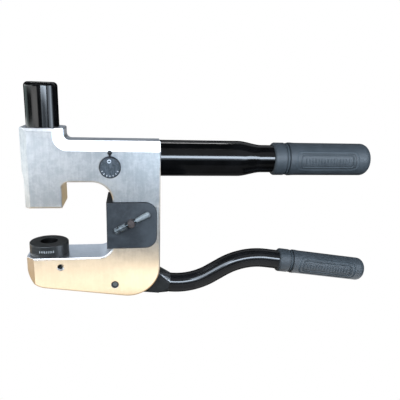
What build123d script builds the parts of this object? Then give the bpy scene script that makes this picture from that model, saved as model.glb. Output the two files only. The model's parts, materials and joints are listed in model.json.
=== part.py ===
from build123d import *
import math
import os

# Hand-operated hydraulic hole punch with a C-shaped frame.
# Millimetres. The origin is the centre of the die's cutting face, +Z points up along the punch axis,
# +X runs from the punch towards the handles and +Y goes through the frame, away from the operator's side.

# Clearances
seat_gap = 0.05
slide_gap = 0.05
running_gap = 0.03
free_gap = 0.3

# Reach of a cutter past a face, and how close an edge has to be to a place to be the one meant
overcut = 1.0
near = 0.01

# C-frame
frame_thickness = 56.0
head_left = 24.7
head_right = 27.0
nose_half_width = 22.5
nose_step_height = 36.0
nose_step_rise = 10.0
daylight = 51.8
throat_ceiling = 85.1
throat_depth = 85.0
beam_height = 51.3
head_above_beam = 14.8
column_width = 61.0
jaw_left = 26.0
jaw_depth = 42.0
jaw_slope_deg = 8.25
heel_radius = 41.7
jaw_nose_radius = 26.0
shoulder_radius = 6.0
throat_front_radius = 9.0
throat_top_radius = 25.0
throat_low_radius = 20.0
corner_cut_start = 15.5
beam_edge_bevel = 12.6
head_edge_bevel = 4.0
head_corner_radius = 2.2
small_edge_chamfer = 1.6

# Level joint across the column, behind the edge guide, with its dowels
frame_joint_rise = 9.8
frame_dowel_diameter = 8.0
frame_dowel_length = 36.0
frame_dowel_inset = 13.0

# Die and its lock screw
die_diameter = 50.0
die_height = 15.3
die_hole_diameter = 22.5
die_land = 6.0
die_relief_diameter = 24.5
die_spigot_diameter = 38.0
die_spigot_length = 18.0
die_edge_radius = 1.6
slug_hole_diameter = 28.0
lock_screw_diameter = 6.0
lock_screw_length = 9.0
lock_screw_angle_deg = -58.4
lock_screw_drop = 12.1
lock_hole_sink_diameter = 9.6
lock_hole_sink_depth = 1.3
lock_socket_width = 3.0
lock_socket_depth = 3.0

# Cylinder, ram and punch
barrel_diameter = 40.0
barrel_wall = 4.0
barrel_crown = 8.0
barrel_stand = 54.2
barrel_edge_radius = 5.2
barrel_seat_depth = 55.0
barrel_seal_width = 3.0
barrel_seal_depth = 2.0
barrel_seal_drop = 20.0
bush_diameter = 34.0
bush_flange = 4.0
wiper_height = 4.0
wiper_width = 3.0
nose_recess = 0.5
ram_rod_diameter = 24.0
piston_height = 18.0
piston_top_gap = 3.0
piston_seal_height = 4.0
piston_seal_depth = 3.0
punch_clearance = 0.1
punch_length = 16.0
punch_inset = 1.0
punch_shank_diameter = 14.0
punch_shank_length = 20.0
punch_point_diameter = 3.0
punch_hollow = 0.8
punch_screw_diameter = 5.0
return_spring_fill = 0.75
return_spring_turns = 6

# Reservoir handle
tube_diameter = 47.6
tube_wall = 3.0
tube_length = 105.0
tube_taper = 34.0
tube_neck_diameter = 37.2
tube_neck_length = 14.5
tube_stub_diameter = 34.0
tube_spigot_diameter = 36.0
tube_spigot_length = 14.0
tube_end_wall = 4.0
nipple_diameter = 12.0
nipple_bore = 7.0
nipple_length = 8.0
bladder_gap = 1.0
bladder_wall = 1.5
bladder_length = 84.0
filler_plug_length = 14.0
filler_flange = 4.0
filler_socket_width = 8.0
filler_socket_depth = 5.0
filler_seal_height = 2.0
filler_seal_width = 2.0

# Rubber grips
grip_diameter = 44.6
grip_length = 140.7
grip_collar_length = 16.5
grip_collar_radius = 3.5
grip_groove_length = 5.0
grip_groove_depth = 1.8
grip_groove_radius = 1.2
grip_bead_length = 4.5
grip_bead_height = 0.4
grip_end_radius = 12.4
grip_end_wall = 12.0
panel_length = 82.0
panel_height = 20.5
panel_start = 33.5
panel_corner_radius = 6.0
panel_margin = 3.5
panel_depth = 0.5
panel_step = 0.6
lever_grip_diameter = 33.6
lever_grip_length = 136.6
lever_grip_end_radius = 10.0
lever_panel_length = 79.0
lever_panel_height = 17.5

# Release valve
knob_before_throat = 2.2
knob_below_beam = 31.3
knob_diameter = 26.6
knob_height = 8.0
knob_edge = 1.2
knob_floor = 2.5
knob_pin_diameter = 2.6
knob_pin_ball = 5.8
knob_pin_reach = 18.2
knob_pin_root = 4.0
knob_screw_diameter = 3.0
spindle_diameter = 8.0
valve_gland_diameter = 12.0
valve_gland_length = 12.0
valve_seal_height = 2.5
release_ball_diameter = 6.0
release_seat_diameter = 4.0
release_seat_length = 8.0

# Pump
plunger_diameter = 9.0
plunger_head_diameter = 12.0
plunger_head_height = 4.0
pump_chamber_gap = 0.3
pump_chamber_length = 39.0
pump_gland_diameter = 18.0
pump_gland_length = 12.0
pump_gland_flange = 2.0
pump_gland_across = 22.0
pump_seal_height = 3.0
pump_seal_width = 2.0
pump_spring_wire = 1.8
pump_spring_turns = 8
valve_bore_diameter = 8.0
valve_bore_length = 18.0
valve_bore_rise = 21.5
valve_bore_pitch = 32.0
valve_port_diameter = 3.5
valve_plug_length = 7.0
valve_plug_socket = 4.0
valve_plug_socket_depth = 3.5
check_ball_diameter = 5.0
check_spring_diameter = 5.4
check_spring_wire = 0.8

# Lever
pivot_behind_throat = 1.0
pivot_drop = 54.6
pivot_pin_diameter = 10.0
pivot_pin_recess = 2.0
pivot_pin_chamfer = 1.0
circlip_width = 1.5
circlip_height = 0.9
circlip_grip = 0.5
pivot_bush_wall = 2.0
lever_travel_deg = 18.0
knuckle_width = 28.0
knuckle_eye_radius = 12.5
knuckle_top_drop = 45.0
knuckle_throat = 59.5
knuckle_end = 74.0
knuckle_front_height = 30.5
knuckle_corner = 1.5
knuckle_flat = 0.4
knuckle_belly = 3.0
slot_eye_gap = 1.5
slot_gland_gap = 4.0
pocket_gap = 1.0
pocket_floor = 1.5
lever_rim = 0.4
roller_arm = 34.0
roller_radius = 6.0
roller_width = 12.0
roller_pin_diameter = 5.0
roller_contact_gap = 0.12
pocket_length = 26.0
slot_roof = 6.0
lever_tube_diameter = 27.0
lever_tube_wall = 3.0
lever_start_drop = 10.9
lever_start_deg = -8.8
lever_rise_deg = 29.9
lever_fall_deg = -8.5
lever_low_radius = 92.8
lever_high_radius = 98.4
lever_run = 18.4
lever_neck = 18.1
lever_stub_diameter = 24.0
lever_spigot_diameter = 20.0
lever_spigot_length = 24.0

# Edge guide and its clamp
guide_wall = 7.7
guide_plate = 3.2
guide_length = 64.4
guide_height = 61.8
guide_foot = 12.8
guide_corner_radius = 15.0
guide_edge = 0.8
guide_relief = 2.2
clamp_thread = 6.0
clamp_from_front = 31.3
clamp_above_foot = 36.2
clamp_hub_diameter = 9.6
clamp_hub_height = 11.0
clamp_tip_gap = 0.1
bar_diameter = 4.0
bar_angle_deg = 28.0
bar_long = 21.0
bar_short = 18.0
bar_handle_root = 5.6
bar_handle_diameter = 8.0
bar_handle_length = 20.0
bar_handle_round = 3.2
bar_nut_diameter = 7.8
bar_nut_length = 16.6
bar_nut_end = 5.2
bar_nut_groove = 1.2
bar_nut_edge = 0.6
bar_collar_gap = 2.0

# Derived places
half_frame = frame_thickness / 2
jaw_top = -die_height
beam_top = throat_ceiling + beam_height
head_top = beam_top + head_above_beam
column_right = throat_depth + column_width
nose_step_low = daylight + nose_step_height
tube_axis_z = beam_top - tube_diameter / 2
knob_x = throat_depth - knob_before_throat
knob_z = beam_top - knob_below_beam
pivot_x = throat_depth + pivot_behind_throat
pivot_z = -pivot_drop
barrel_bottom = head_top - barrel_seat_depth
barrel_top = head_top + barrel_stand
barrel_bore = barrel_diameter - 2 * barrel_wall
bush_top = barrel_bottom
rod_bottom = daylight + punch_inset + punch_length
piston_top = barrel_top - barrel_crown - piston_top_gap
piston_bottom = piston_top - piston_height
pump_x = pivot_x + roller_arm
slot_roof_z = -slot_roof + jaw_top
chamber_low = slot_roof_z + pump_gland_length
chamber_high = chamber_low + pump_chamber_length
joint_z = chamber_low + valve_bore_rise + valve_bore_pitch + frame_joint_rise
guide_left = throat_depth - free_gap - guide_wall
guide_low = jaw_top + guide_foot
clamp_x = guide_left + clamp_from_front
clamp_z = guide_low + clamp_above_foot
far = 400.0


def rod_x(radius, start, end, y=0.0, z=0.0):
    return Pos((start + end) / 2, y, z) * Rot(0, 90, 0) * Cylinder(radius, end - start)


def rod_y(radius, start, end, x=0.0, z=0.0):
    return Pos(x, (start + end) / 2, z) * Rot(90, 0, 0) * Cylinder(radius, end - start)


def rod_z(radius, start, end, x=0.0, y=0.0):
    return Pos(x, y, (start + end) / 2) * Cylinder(radius, end - start)


def ring_z(outer, inner, start, end, x=0.0, y=0.0):
    return rod_z(outer, start, end, x, y) - rod_z(inner, start, end, x, y)


def block(x_low, x_high, y_low, y_high, z_low, z_high):
    middle = Pos((x_low + x_high) / 2, (y_low + y_high) / 2, (z_low + z_high) / 2)
    return middle * Box(x_high - x_low, y_high - y_low, z_high - z_low)


def slab(face, half_width):
    """Extrude an outline drawn in X and Z to both sides of the frame's middle plane."""
    return extrude(Plane.XZ * face, half_width, both=True)


def hex_socket(width, depth):
    """A hexagonal key socket that is open at its top, on +Z."""
    hexagon = RegularPolygon(width / 2, 6, major_radius=False)
    return Pos(0, 0, -depth / 2) * extrude(hexagon, depth / 2, both=True)


def coil(mean_radius, wire, low, high, turns):
    """A compression spring along Z, with its wire inside the two end planes."""
    rise = high - low - wire - 2 * seat_gap
    line = Helix(rise / turns, rise, mean_radius)
    section = Plane(origin=line @ 0, z_dir=line % 0) * Circle(wire / 2)
    return Pos(0, 0, low + wire / 2 + seat_gap) * sweep(section, line)


def round_corner(face, corner, radius):
    nearest = face.vertices().sort_by_distance((corner[0], corner[1], 0))[0]
    return fillet(nearest, radius)


def jaw_bottom_at(x):
    return jaw_top - jaw_depth - x * math.tan(math.radians(jaw_slope_deg))


# C-frame

def frame_outline():
    corners = {
        "head top left": (-head_left, head_top),
        "head top right": (head_right, head_top),
        "shoulder": (head_right, beam_top),
        "column top": (column_right, beam_top),
        "heel": (column_right, jaw_bottom_at(column_right)),
        "jaw nose": (-jaw_left, jaw_bottom_at(-jaw_left)),
        "jaw top left": (-jaw_left, jaw_top),
        "throat low": (throat_depth, jaw_top),
        "throat high": (throat_depth, throat_ceiling),
        "throat front": (nose_half_width, throat_ceiling),
        "nose right": (nose_half_width, daylight),
        "nose left": (-nose_half_width, daylight),
        "step low": (-nose_half_width, nose_step_low),
        "step high": (-head_left, nose_step_low + nose_step_rise),
    }
    radii = {
        "shoulder": shoulder_radius,
        "heel": heel_radius,
        "jaw nose": jaw_nose_radius,
        "throat low": throat_low_radius,
        "throat high": throat_top_radius,
        "throat front": throat_front_radius,
    }
    face = make_face(Polyline(*corners.values(), close=True))
    for name, radius in radii.items():
        face = round_corner(face, corners[name], radius)
    return face


def corner_cut(side):
    """The upright 45 degree cut that takes off a front corner of the head, nose and jaw."""
    reach = jaw_left - corner_cut_start + overcut
    points = [
        (-corner_cut_start, side * half_frame),
        (-corner_cut_start, side * (half_frame + reach)),
        (-corner_cut_start - 2 * reach, side * (half_frame + reach)),
        (-corner_cut_start - 2 * reach, side * (half_frame - 2 * reach)),
    ]
    face = make_face(Polyline(*points, close=True))
    return extrude(face, far, both=True)


def is_upper_edge(edge):
    """True for a side edge of the beam's top, the shoulder or the head's right face."""
    middle = edge @ 0.5
    on_side = abs(abs(middle.Y) - half_frame) < near
    above = beam_top - near < middle.Z < head_top - near
    return on_side and above and middle.X > head_right - near


def is_head_edge(edge):
    """True for a side edge of the head's top."""
    middle = edge @ 0.5
    on_side = abs(abs(middle.Y) - half_frame) < near
    return on_side and middle.Z > head_top - near


def is_head_corner(edge):
    """True for the edge between the head's top and its right face."""
    middle = edge @ 0.5
    return abs(middle.X - head_right) < near and middle.Z > head_top - near


def is_small_edge(edge):
    """True for a side edge of the throat, the jaw's top and bottom and the column's back."""
    middle = edge @ 0.5
    on_side = abs(abs(middle.Y) - half_frame) < near
    below = middle.Z < throat_ceiling + near
    return on_side and below and middle.X > -corner_cut_start + near


def lever_slot():
    half = knuckle_width / 2 + free_gap
    clear = knuckle_eye_radius + slot_eye_gap
    points = [
        (pivot_x - clear, pivot_z),
        (pivot_x - clear, -far),
        (far, -far),
        (far, slot_roof_z),
        (pump_x - pump_gland_across / 2 - slot_gland_gap, slot_roof_z),
        (pivot_x, pivot_z + clear),
    ]
    face = make_face(Polyline(*points, close=True))
    return slab(face, half) + rod_y(clear, -half, half, pivot_x, pivot_z)


def lock_screw_place(distance):
    """A place on the lock screw's axis, which points at the die, with its Z axis pointing outwards."""
    turn = math.radians(lock_screw_angle_deg)
    outwards = Vector(math.cos(turn), math.sin(turn), 0)
    origin = outwards * distance + Vector(0, 0, jaw_top - lock_screw_drop)
    return Plane(origin=origin, z_dir=outwards)


def lock_hole_sink(hole_radius):
    """The countersink round the mouth of the lock screw's hole, square to the frame's side."""
    x = half_frame / -math.tan(math.radians(lock_screw_angle_deg))
    place = Plane(origin=(x, -half_frame, jaw_top - lock_screw_drop), z_dir=(0, -1, 0))
    sink = Cone(hole_radius, lock_hole_sink_diameter / 2, lock_hole_sink_depth)
    return place * Pos(0, 0, -lock_hole_sink_depth / 2) * sink


def circlip_groove(side):
    inner = half_frame - pivot_pin_recess
    start = inner + seat_gap
    end = start + circlip_height + 2 * seat_gap
    radius = pivot_pin_diameter / 2 + circlip_grip + seat_gap
    low, high = sorted((side * start, side * end))
    return rod_y(radius, low, high, pivot_x, pivot_z)


def valve_bore_heights():
    return [chamber_low + valve_bore_rise, chamber_low + valve_bore_rise + valve_bore_pitch]


def dowel_places():
    places = []
    for x in (throat_depth + frame_dowel_inset, column_right - frame_dowel_inset):
        for y in (-half_frame + frame_dowel_inset, half_frame - frame_dowel_inset):
            places.append((x, y))
    return places


def frame_casting():
    """The whole C-shaped frame with every bore, before it is parted at its joint."""
    body = slab(frame_outline(), half_frame)
    body -= corner_cut(-1)
    body -= corner_cut(1)
    body = chamfer(body.edges().filter_by(is_upper_edge), beam_edge_bevel)
    body = fillet(body.edges().filter_by(is_head_corner), head_corner_radius)
    body = chamfer(body.edges().filter_by(is_head_edge), head_edge_bevel)
    body = chamfer(body.edges().filter_by(is_small_edge), small_edge_chamfer)
    body -= rod_z(bush_diameter / 2 + seat_gap, daylight - overcut, barrel_bottom)
    body -= rod_z(barrel_diameter / 2 + seat_gap, barrel_bottom - bush_flange, head_top + overcut)
    die_seat = jaw_top - die_spigot_length - free_gap
    body -= rod_z(die_spigot_diameter / 2 + seat_gap, die_seat, jaw_top + overcut)
    body -= rod_z(slug_hole_diameter / 2, -far / 2, jaw_top)
    lock_hole = lock_screw_diameter / 2 + seat_gap
    body -= lock_screw_place(0) * Pos(0, 0, far / 4) * Cylinder(lock_hole, far / 2)
    body -= lock_hole_sink(lock_hole)
    socket_depth = tube_spigot_length + free_gap
    socket_end = column_right - socket_depth
    body -= rod_x(tube_spigot_diameter / 2 + seat_gap, socket_end, column_right + overcut, 0, tube_axis_z)
    body -= lever_slot()
    outside = half_frame + overcut
    body -= rod_y(pivot_pin_diameter / 2 + running_gap, -outside, outside, pivot_x, pivot_z)
    body -= circlip_groove(-1)
    body -= circlip_groove(1)
    body -= rod_z(pump_gland_diameter / 2 + seat_gap, slot_roof_z - overcut, chamber_low, pump_x)
    body -= rod_z(plunger_head_diameter / 2 + pump_chamber_gap, chamber_low - overcut, chamber_high, pump_x)
    for height in valve_bore_heights():
        inner = column_right - valve_bore_length
        body -= rod_x(valve_bore_diameter / 2 + seat_gap, inner, column_right + overcut, 0, height)
        body -= rod_x(valve_port_diameter / 2, pump_x, inner, 0, height)
    body -= rod_z(valve_port_diameter / 2, chamber_high, valve_bore_heights()[1], pump_x)
    gland_end = -half_frame + valve_gland_length + valve_seal_height
    body -= rod_y(valve_gland_diameter / 2 + seat_gap, -half_frame - overcut, gland_end, knob_x, knob_z)
    body -= rod_y(spindle_diameter / 2 + free_gap, gland_end - overcut, 0, knob_x, knob_z)
    body -= rod_y(release_seat_diameter / 2, -overcut, release_seat_length, knob_x, knob_z)
    half_hole = frame_dowel_length / 2 + seat_gap
    for x, y in dowel_places():
        hole = rod_z(frame_dowel_diameter / 2 + seat_gap, joint_z - half_hole, joint_z + half_hole)
        body -= Pos(x, y, 0) * hole
    return body


def jaw_region():
    """All that lies below the joint in the column, and below the middle of the mouth in front of it."""
    divide = throat_depth / 2
    front = Pos(divide - far / 2, 0, daylight / 2 - far / 2) * Box(far, far, far)
    back = Pos(divide + far / 2, 0, joint_z - far / 2) * Box(far, far, far)
    return front + back


def frame_head():
    """The head, nose, beam and upper column."""
    return frame_casting() - jaw_region()


def frame_jaw():
    """The lower column, heel and jaw."""
    return frame_casting() & jaw_region()


def frame_dowels():
    half = frame_dowel_length / 2
    dowel = rod_z(frame_dowel_diameter / 2, joint_z - half, joint_z + half)
    return Compound(children=[Pos(x, y, 0) * dowel for x, y in dowel_places()])


# Die and lock screw

def die():
    body = rod_z(die_diameter / 2, jaw_top, 0)
    body = fillet(body.edges().sort_by(Axis.Z)[-1], die_edge_radius)
    body += rod_z(die_spigot_diameter / 2, jaw_top - die_spigot_length, jaw_top)
    body -= rod_z(die_hole_diameter / 2, -die_land - overcut, overcut)
    body -= rod_z(die_relief_diameter / 2, -far / 2, -die_land)
    return body


def die_lock_screw():
    start = die_spigot_diameter / 2 + slide_gap
    screw = Pos(0, 0, lock_screw_length / 2) * Cylinder(lock_screw_diameter / 2, lock_screw_length)
    screw -= Pos(0, 0, lock_screw_length) * hex_socket(lock_socket_width, lock_socket_depth)
    return lock_screw_place(start) * screw


# Cylinder, ram and punch

def cylinder_barrel():
    body = rod_z(barrel_diameter / 2, barrel_bottom, barrel_top)
    body = fillet(body.edges().sort_by(Axis.Z)[-1], barrel_edge_radius)
    body -= rod_z(barrel_bore / 2, barrel_bottom - overcut, barrel_top - barrel_crown)
    return body - barrel_seal(seat_gap)


def barrel_seal(extra=0.0):
    top = head_top - barrel_seal_drop + extra
    inner = barrel_diameter / 2 - barrel_seal_depth - extra
    return ring_z(barrel_diameter / 2 + extra, inner, top - barrel_seal_width - 2 * extra, top)


def ram_bush():
    low = daylight + nose_recess
    body = rod_z(bush_diameter / 2, low, bush_top)
    body += rod_z(barrel_diameter / 2, bush_top - bush_flange + seat_gap, bush_top - seat_gap)
    body &= rod_z(barrel_diameter / 2, low, bush_top - seat_gap)
    body -= rod_z(ram_rod_diameter / 2 + slide_gap, low - overcut, bush_top + overcut)
    wiper_room = ram_rod_diameter / 2 + wiper_width + seat_gap
    return body - rod_z(wiper_room, low - overcut, low + wiper_height + seat_gap)


def ram_wiper():
    low = daylight + nose_recess
    inner = ram_rod_diameter / 2 + slide_gap
    return ring_z(ram_rod_diameter / 2 + wiper_width, inner, low, low + wiper_height)


def ram():
    piston_radius = barrel_bore / 2 - slide_gap
    body = rod_z(ram_rod_diameter / 2, rod_bottom, piston_bottom)
    body += rod_z(piston_radius, piston_bottom, piston_top)
    body -= piston_seal(seat_gap)
    shank_top = rod_bottom + punch_shank_length + free_gap
    body -= rod_z(punch_shank_diameter / 2 + seat_gap, rod_bottom - overcut, shank_top)
    middle = rod_bottom + punch_shank_length / 2
    return body - rod_x(punch_screw_diameter / 2 + seat_gap, 0, ram_rod_diameter, 0, middle)


def piston_seal(extra=0.0):
    middle = (piston_top + piston_bottom) / 2
    half = piston_seal_height / 2 + extra
    outer = barrel_bore / 2 - slide_gap + extra
    inner = barrel_bore / 2 - slide_gap - piston_seal_depth - extra
    return ring_z(outer, inner, middle - half, middle + half)


def punch():
    low = daylight + punch_inset
    radius = die_hole_diameter / 2 - punch_clearance
    body = rod_z(radius, low, rod_bottom)
    body += rod_z(punch_shank_diameter / 2, rod_bottom, rod_bottom + punch_shank_length)
    hollow = Cone(radius - punch_hollow, punch_point_diameter / 2, punch_hollow)
    body -= Pos(0, 0, low + punch_hollow / 2) * hollow
    return body


def punch_screw():
    inner = punch_shank_diameter / 2 + slide_gap
    outer = ram_rod_diameter / 2 - free_gap
    middle = rod_bottom + punch_shank_length / 2
    screw = rod_x(punch_screw_diameter / 2, inner, outer, 0, middle)
    socket = hex_socket(punch_screw_diameter / 2, (outer - inner) / 2)
    return screw - Pos(outer, 0, middle) * Rot(0, 90, 0) * socket


def return_spring():
    mean_radius = (ram_rod_diameter + barrel_bore) / 4
    wire = return_spring_fill * (barrel_bore - ram_rod_diameter) / 2
    return coil(mean_radius, wire, bush_top, piston_bottom, return_spring_turns)


# Reservoir handle

def reservoir_tube():
    outer = tube_diameter / 2
    neck = tube_neck_diameter / 2
    stub = tube_stub_diameter / 2
    spigot = tube_spigot_diameter / 2
    start = column_right
    taper_start = start + tube_length
    taper_end = taper_start + tube_taper
    neck_end = taper_end + tube_neck_length
    stub_end = upper_stub_end()
    drop = (outer - neck) / 2
    reach = tube_taper / 2
    mid = (taper_start + reach, outer - drop)
    wall = tube_wall
    bend = (reach ** 2 + drop ** 2) / (2 * drop)
    bore_end = taper_start - wall
    solid_end = start + tube_end_wall
    lines = [
        Line((start - tube_spigot_length, 0), (start - tube_spigot_length, spigot)),
        Line((start - tube_spigot_length, spigot), (start, spigot)),
        Line((start, spigot), (start, outer)),
        Line((start, outer), (taper_start, outer)),
        RadiusArc((taper_start, outer), mid, bend),
        RadiusArc(mid, (taper_end, neck), -bend),
        Line((taper_end, neck), (neck_end, neck)),
        Line((neck_end, neck), (neck_end, stub)),
        Line((neck_end, stub), (stub_end, stub)),
        Line((stub_end, stub), (stub_end, 0)),
        Line((stub_end, 0), (start - tube_spigot_length, 0)),
    ]
    body = revolve(make_face(Curve() + lines), Axis.X)
    inner = [
        (solid_end, 0),
        (solid_end, outer - wall),
        (bore_end, outer - wall),
        (taper_end, stub - wall),
        (stub_end + overcut, stub - wall),
        (stub_end + overcut, 0),
    ]
    body -= revolve(make_face(Polyline(*inner, close=True)), Axis.X)
    body += rod_x(nipple_diameter / 2, solid_end - overcut, solid_end + nipple_length)
    body -= rod_x(nipple_bore / 2, start - far / 4, solid_end + nipple_length + overcut)
    return Pos(0, 0, tube_axis_z) * body


def upper_stub_end():
    return upper_grip_start() + grip_length - grip_end_wall - filler_flange - free_gap


def upper_grip_start():
    return column_right + tube_length + tube_taper + tube_neck_length


def reservoir_bladder():
    outer = tube_diameter / 2 - tube_wall - bladder_gap
    inner = outer - bladder_wall
    start = column_right + tube_end_wall + seat_gap
    neck = nipple_diameter / 2 + slide_gap
    end = start + nipple_length + bladder_length
    skin = [
        (start, neck),
        (start, neck + bladder_wall),
        (start + nipple_length, neck + bladder_wall),
        (start + 2 * nipple_length, outer),
        (end - nipple_length, outer),
        (end, neck + bladder_wall),
        (end, 0),
        (end - bladder_wall, 0),
        (end - bladder_wall, neck),
        (end - nipple_length - bladder_wall, inner),
        (start + 2 * nipple_length + bladder_wall, inner),
        (start + nipple_length + bladder_wall, neck),
    ]
    body = revolve(make_face(Polyline(*skin, close=True)), Axis.X)
    return Pos(0, 0, tube_axis_z) * body


def filler_plug():
    end = upper_stub_end()
    radius = tube_stub_diameter / 2 - tube_wall - seat_gap
    body = rod_x(radius, end - filler_plug_length, end)
    body += rod_x(tube_stub_diameter / 2, end, end + filler_flange)
    socket = hex_socket(filler_socket_width, filler_socket_depth)
    body -= Pos(end + filler_flange, 0, 0) * Rot(0, 90, 0) * socket
    body = Pos(0, 0, tube_axis_z) * body
    return body - filler_seal(seat_gap)


def filler_seal(extra=0.0):
    middle = upper_stub_end() - filler_plug_length / 2
    outer = tube_stub_diameter / 2 - tube_wall - seat_gap + extra
    half = filler_seal_height / 2 + extra
    body = rod_x(outer, middle - half, middle + half)
    body -= rod_x(outer - filler_seal_width - 2 * extra, middle - half, middle + half)
    return Pos(0, 0, tube_axis_z) * body


# Rubber grips, along +X from their collar

def grip(diameter, length, end_radius, bore, panel_size):
    radius = diameter / 2
    groove = radius - grip_groove_depth
    groove_end = grip_collar_length + grip_groove_length
    bead_end = groove_end + grip_bead_length
    bead = radius + grip_bead_height
    outline = {
        "start": (0, 0),
        "collar start": (0, radius),
        "collar end": (grip_collar_length, radius),
        "groove start": (grip_collar_length, groove),
        "groove end": (groove_end, groove),
        "bead start": (groove_end, bead),
        "bead end": (bead_end, bead),
        "body start": (bead_end + grip_bead_length, radius),
        "tip": (length, radius),
        "end": (length, 0),
    }
    radii = {
        "collar start": grip_collar_radius,
        "collar end": grip_groove_radius,
        "bead start": grip_groove_radius,
        "tip": end_radius,
    }
    face = make_face(Polyline(*outline.values(), close=True))
    for name, corner_radius in radii.items():
        face = round_corner(face, outline[name], corner_radius)
    body = revolve(face, Axis.X)
    body -= rod_x(bore / 2 + seat_gap, -overcut, length - grip_end_wall)
    shrink = 2 * panel_margin
    floor_size = (panel_size[0] - shrink, panel_size[1] - shrink)
    for side in (-1, 1):
        body -= panel_recess(radius, panel_size, panel_depth, panel_corner_radius, side)
        floor_radius = panel_corner_radius - panel_margin
        body -= panel_recess(radius, floor_size, panel_depth + panel_step, floor_radius, side)
    return body


def panel_recess(radius, size, depth, corner_radius, side):
    """A shallow pocket that follows the grip's round surface."""
    middle = panel_start + panel_length / 2
    place = Plane(origin=(middle, 0, 0), x_dir=(1, 0, 0), z_dir=(0, side, 0))
    prism = place * extrude(RectangleRounded(size[0], size[1], corner_radius), 2 * radius)
    shell = rod_x(radius + overcut, 0, middle + panel_length)
    shell -= rod_x(radius - depth, -overcut, middle + panel_length + overcut)
    return prism & shell


def upper_grip():
    size = (panel_length, panel_height)
    body = grip(grip_diameter, grip_length, grip_end_radius, tube_stub_diameter, size)
    return Pos(upper_grip_start(), 0, tube_axis_z) * body


def lever_grip():
    size = (lever_panel_length, lever_panel_height)
    body = grip(lever_grip_diameter, lever_grip_length, lever_grip_end_radius, lever_stub_diameter, size)
    return lever_grip_place() * body


# Release valve

def knob_parts_y():
    inner = -half_frame - free_gap
    return inner - knob_height, inner


def release_knob():
    outer, inner = knob_parts_y()
    body = rod_y(knob_diameter / 2, outer, inner, knob_x, knob_z)
    body = fillet(body.edges().sort_by(Axis.Y)[0], knob_edge)
    body -= rod_y(spindle_diameter / 2 + seat_gap, outer + knob_floor, inner + overcut, knob_x, knob_z)
    middle = (outer + inner) / 2
    body -= rod_z(knob_pin_diameter / 2 + seat_gap, knob_z + knob_diameter / 2 - knob_pin_root,
                  knob_z + knob_diameter, knob_x, middle)
    low = knob_z - knob_diameter
    return body - rod_z(knob_screw_diameter / 2 + seat_gap, low, knob_z, knob_x, middle)


def knob_thumb_pin():
    middle = sum(knob_parts_y()) / 2
    root = knob_z + knob_diameter / 2 - knob_pin_root + seat_gap
    body = rod_z(knob_pin_diameter / 2, root, knob_z + knob_pin_reach, knob_x, middle)
    return body + Pos(knob_x, middle, knob_z + knob_pin_reach) * Sphere(knob_pin_ball / 2)


def knob_grub_screw():
    middle = sum(knob_parts_y()) / 2
    high = knob_z - spindle_diameter / 2 - slide_gap
    low = knob_z - knob_diameter / 2 + 2 * knob_edge
    screw = rod_z(knob_screw_diameter / 2, low, high, knob_x, middle)
    socket = hex_socket(knob_screw_diameter / 2, knob_screw_diameter / 2)
    return screw - Pos(knob_x, middle, low) * Rot(180, 0, 0) * socket


def release_ball_centre():
    ball = release_ball_diameter / 2
    seat = release_seat_diameter / 2
    return -math.sqrt(ball ** 2 - seat ** 2) - slide_gap


def release_ball():
    return Pos(knob_x, release_ball_centre(), knob_z) * Sphere(release_ball_diameter / 2)


def valve_spindle():
    outer, inner = knob_parts_y()
    tip = release_ball_centre() - release_ball_diameter / 2 - slide_gap
    body = rod_y(spindle_diameter / 2, outer + knob_floor + seat_gap, tip, knob_x, knob_z)
    return chamfer(body.edges().sort_by(Axis.Y)[-1], spindle_diameter / 4)


def valve_gland():
    start = -half_frame
    end = start + valve_gland_length
    body = rod_y(valve_gland_diameter / 2, start, end, knob_x, knob_z)
    return body - rod_y(spindle_diameter / 2 + running_gap, start - overcut, end + overcut, knob_x, knob_z)


def valve_seal():
    start = -half_frame + valve_gland_length + seat_gap
    end = start + valve_seal_height - 2 * seat_gap
    body = rod_y(valve_gland_diameter / 2, start, end, knob_x, knob_z)
    return body - rod_y(spindle_diameter / 2 + slide_gap, start - overcut, end + overcut, knob_x, knob_z)


# Pump

def roller_centre():
    turn = math.radians(lever_travel_deg / 2)
    return pivot_x + roller_arm * math.cos(turn), pivot_z - roller_arm * math.sin(turn)


def pump_plunger():
    low = roller_centre()[1] + roller_radius + roller_contact_gap
    body = rod_z(plunger_diameter / 2, low, chamber_low + seat_gap, pump_x)
    head_low = chamber_low + seat_gap
    return body + rod_z(plunger_head_diameter / 2, head_low, head_low + plunger_head_height, pump_x)


def pump_spring():
    mean_radius = (plunger_head_diameter - pump_spring_wire) / 2
    low = chamber_low + seat_gap + plunger_head_height
    return Pos(pump_x, 0, 0) * coil(mean_radius, pump_spring_wire, low, chamber_high, pump_spring_turns)


def pump_gland():
    flange = extrude(RegularPolygon(pump_gland_across / 2, 6, major_radius=False), pump_gland_flange)
    body = Pos(pump_x, 0, slot_roof_z - pump_gland_flange) * flange
    body += rod_z(pump_gland_diameter / 2, slot_roof_z - pump_gland_flange, chamber_low, pump_x)
    body -= rod_z(plunger_diameter / 2 + running_gap, -far, far, pump_x)
    return body - pump_seal(seat_gap)


def pump_seal(extra=0.0):
    middle = slot_roof_z + pump_gland_length / 2
    half = pump_seal_height / 2 + extra
    inner = plunger_diameter / 2 + slide_gap
    outer = plunger_diameter / 2 + pump_seal_width + extra
    return ring_z(outer, inner, middle - half, middle + half, pump_x)


def check_valve_plugs():
    plugs = []
    for height in valve_bore_heights():
        start = column_right - valve_plug_length
        plug = rod_x(valve_bore_diameter / 2, start, column_right, 0, height)
        socket = hex_socket(valve_plug_socket, valve_plug_socket_depth)
        plugs.append(plug - Pos(column_right, 0, height) * Rot(0, 90, 0) * socket)
    return Compound(children=plugs)


def check_ball_x():
    ball = check_ball_diameter / 2
    port = valve_port_diameter / 2
    return column_right - valve_bore_length + math.sqrt(ball ** 2 - port ** 2) + slide_gap


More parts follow.
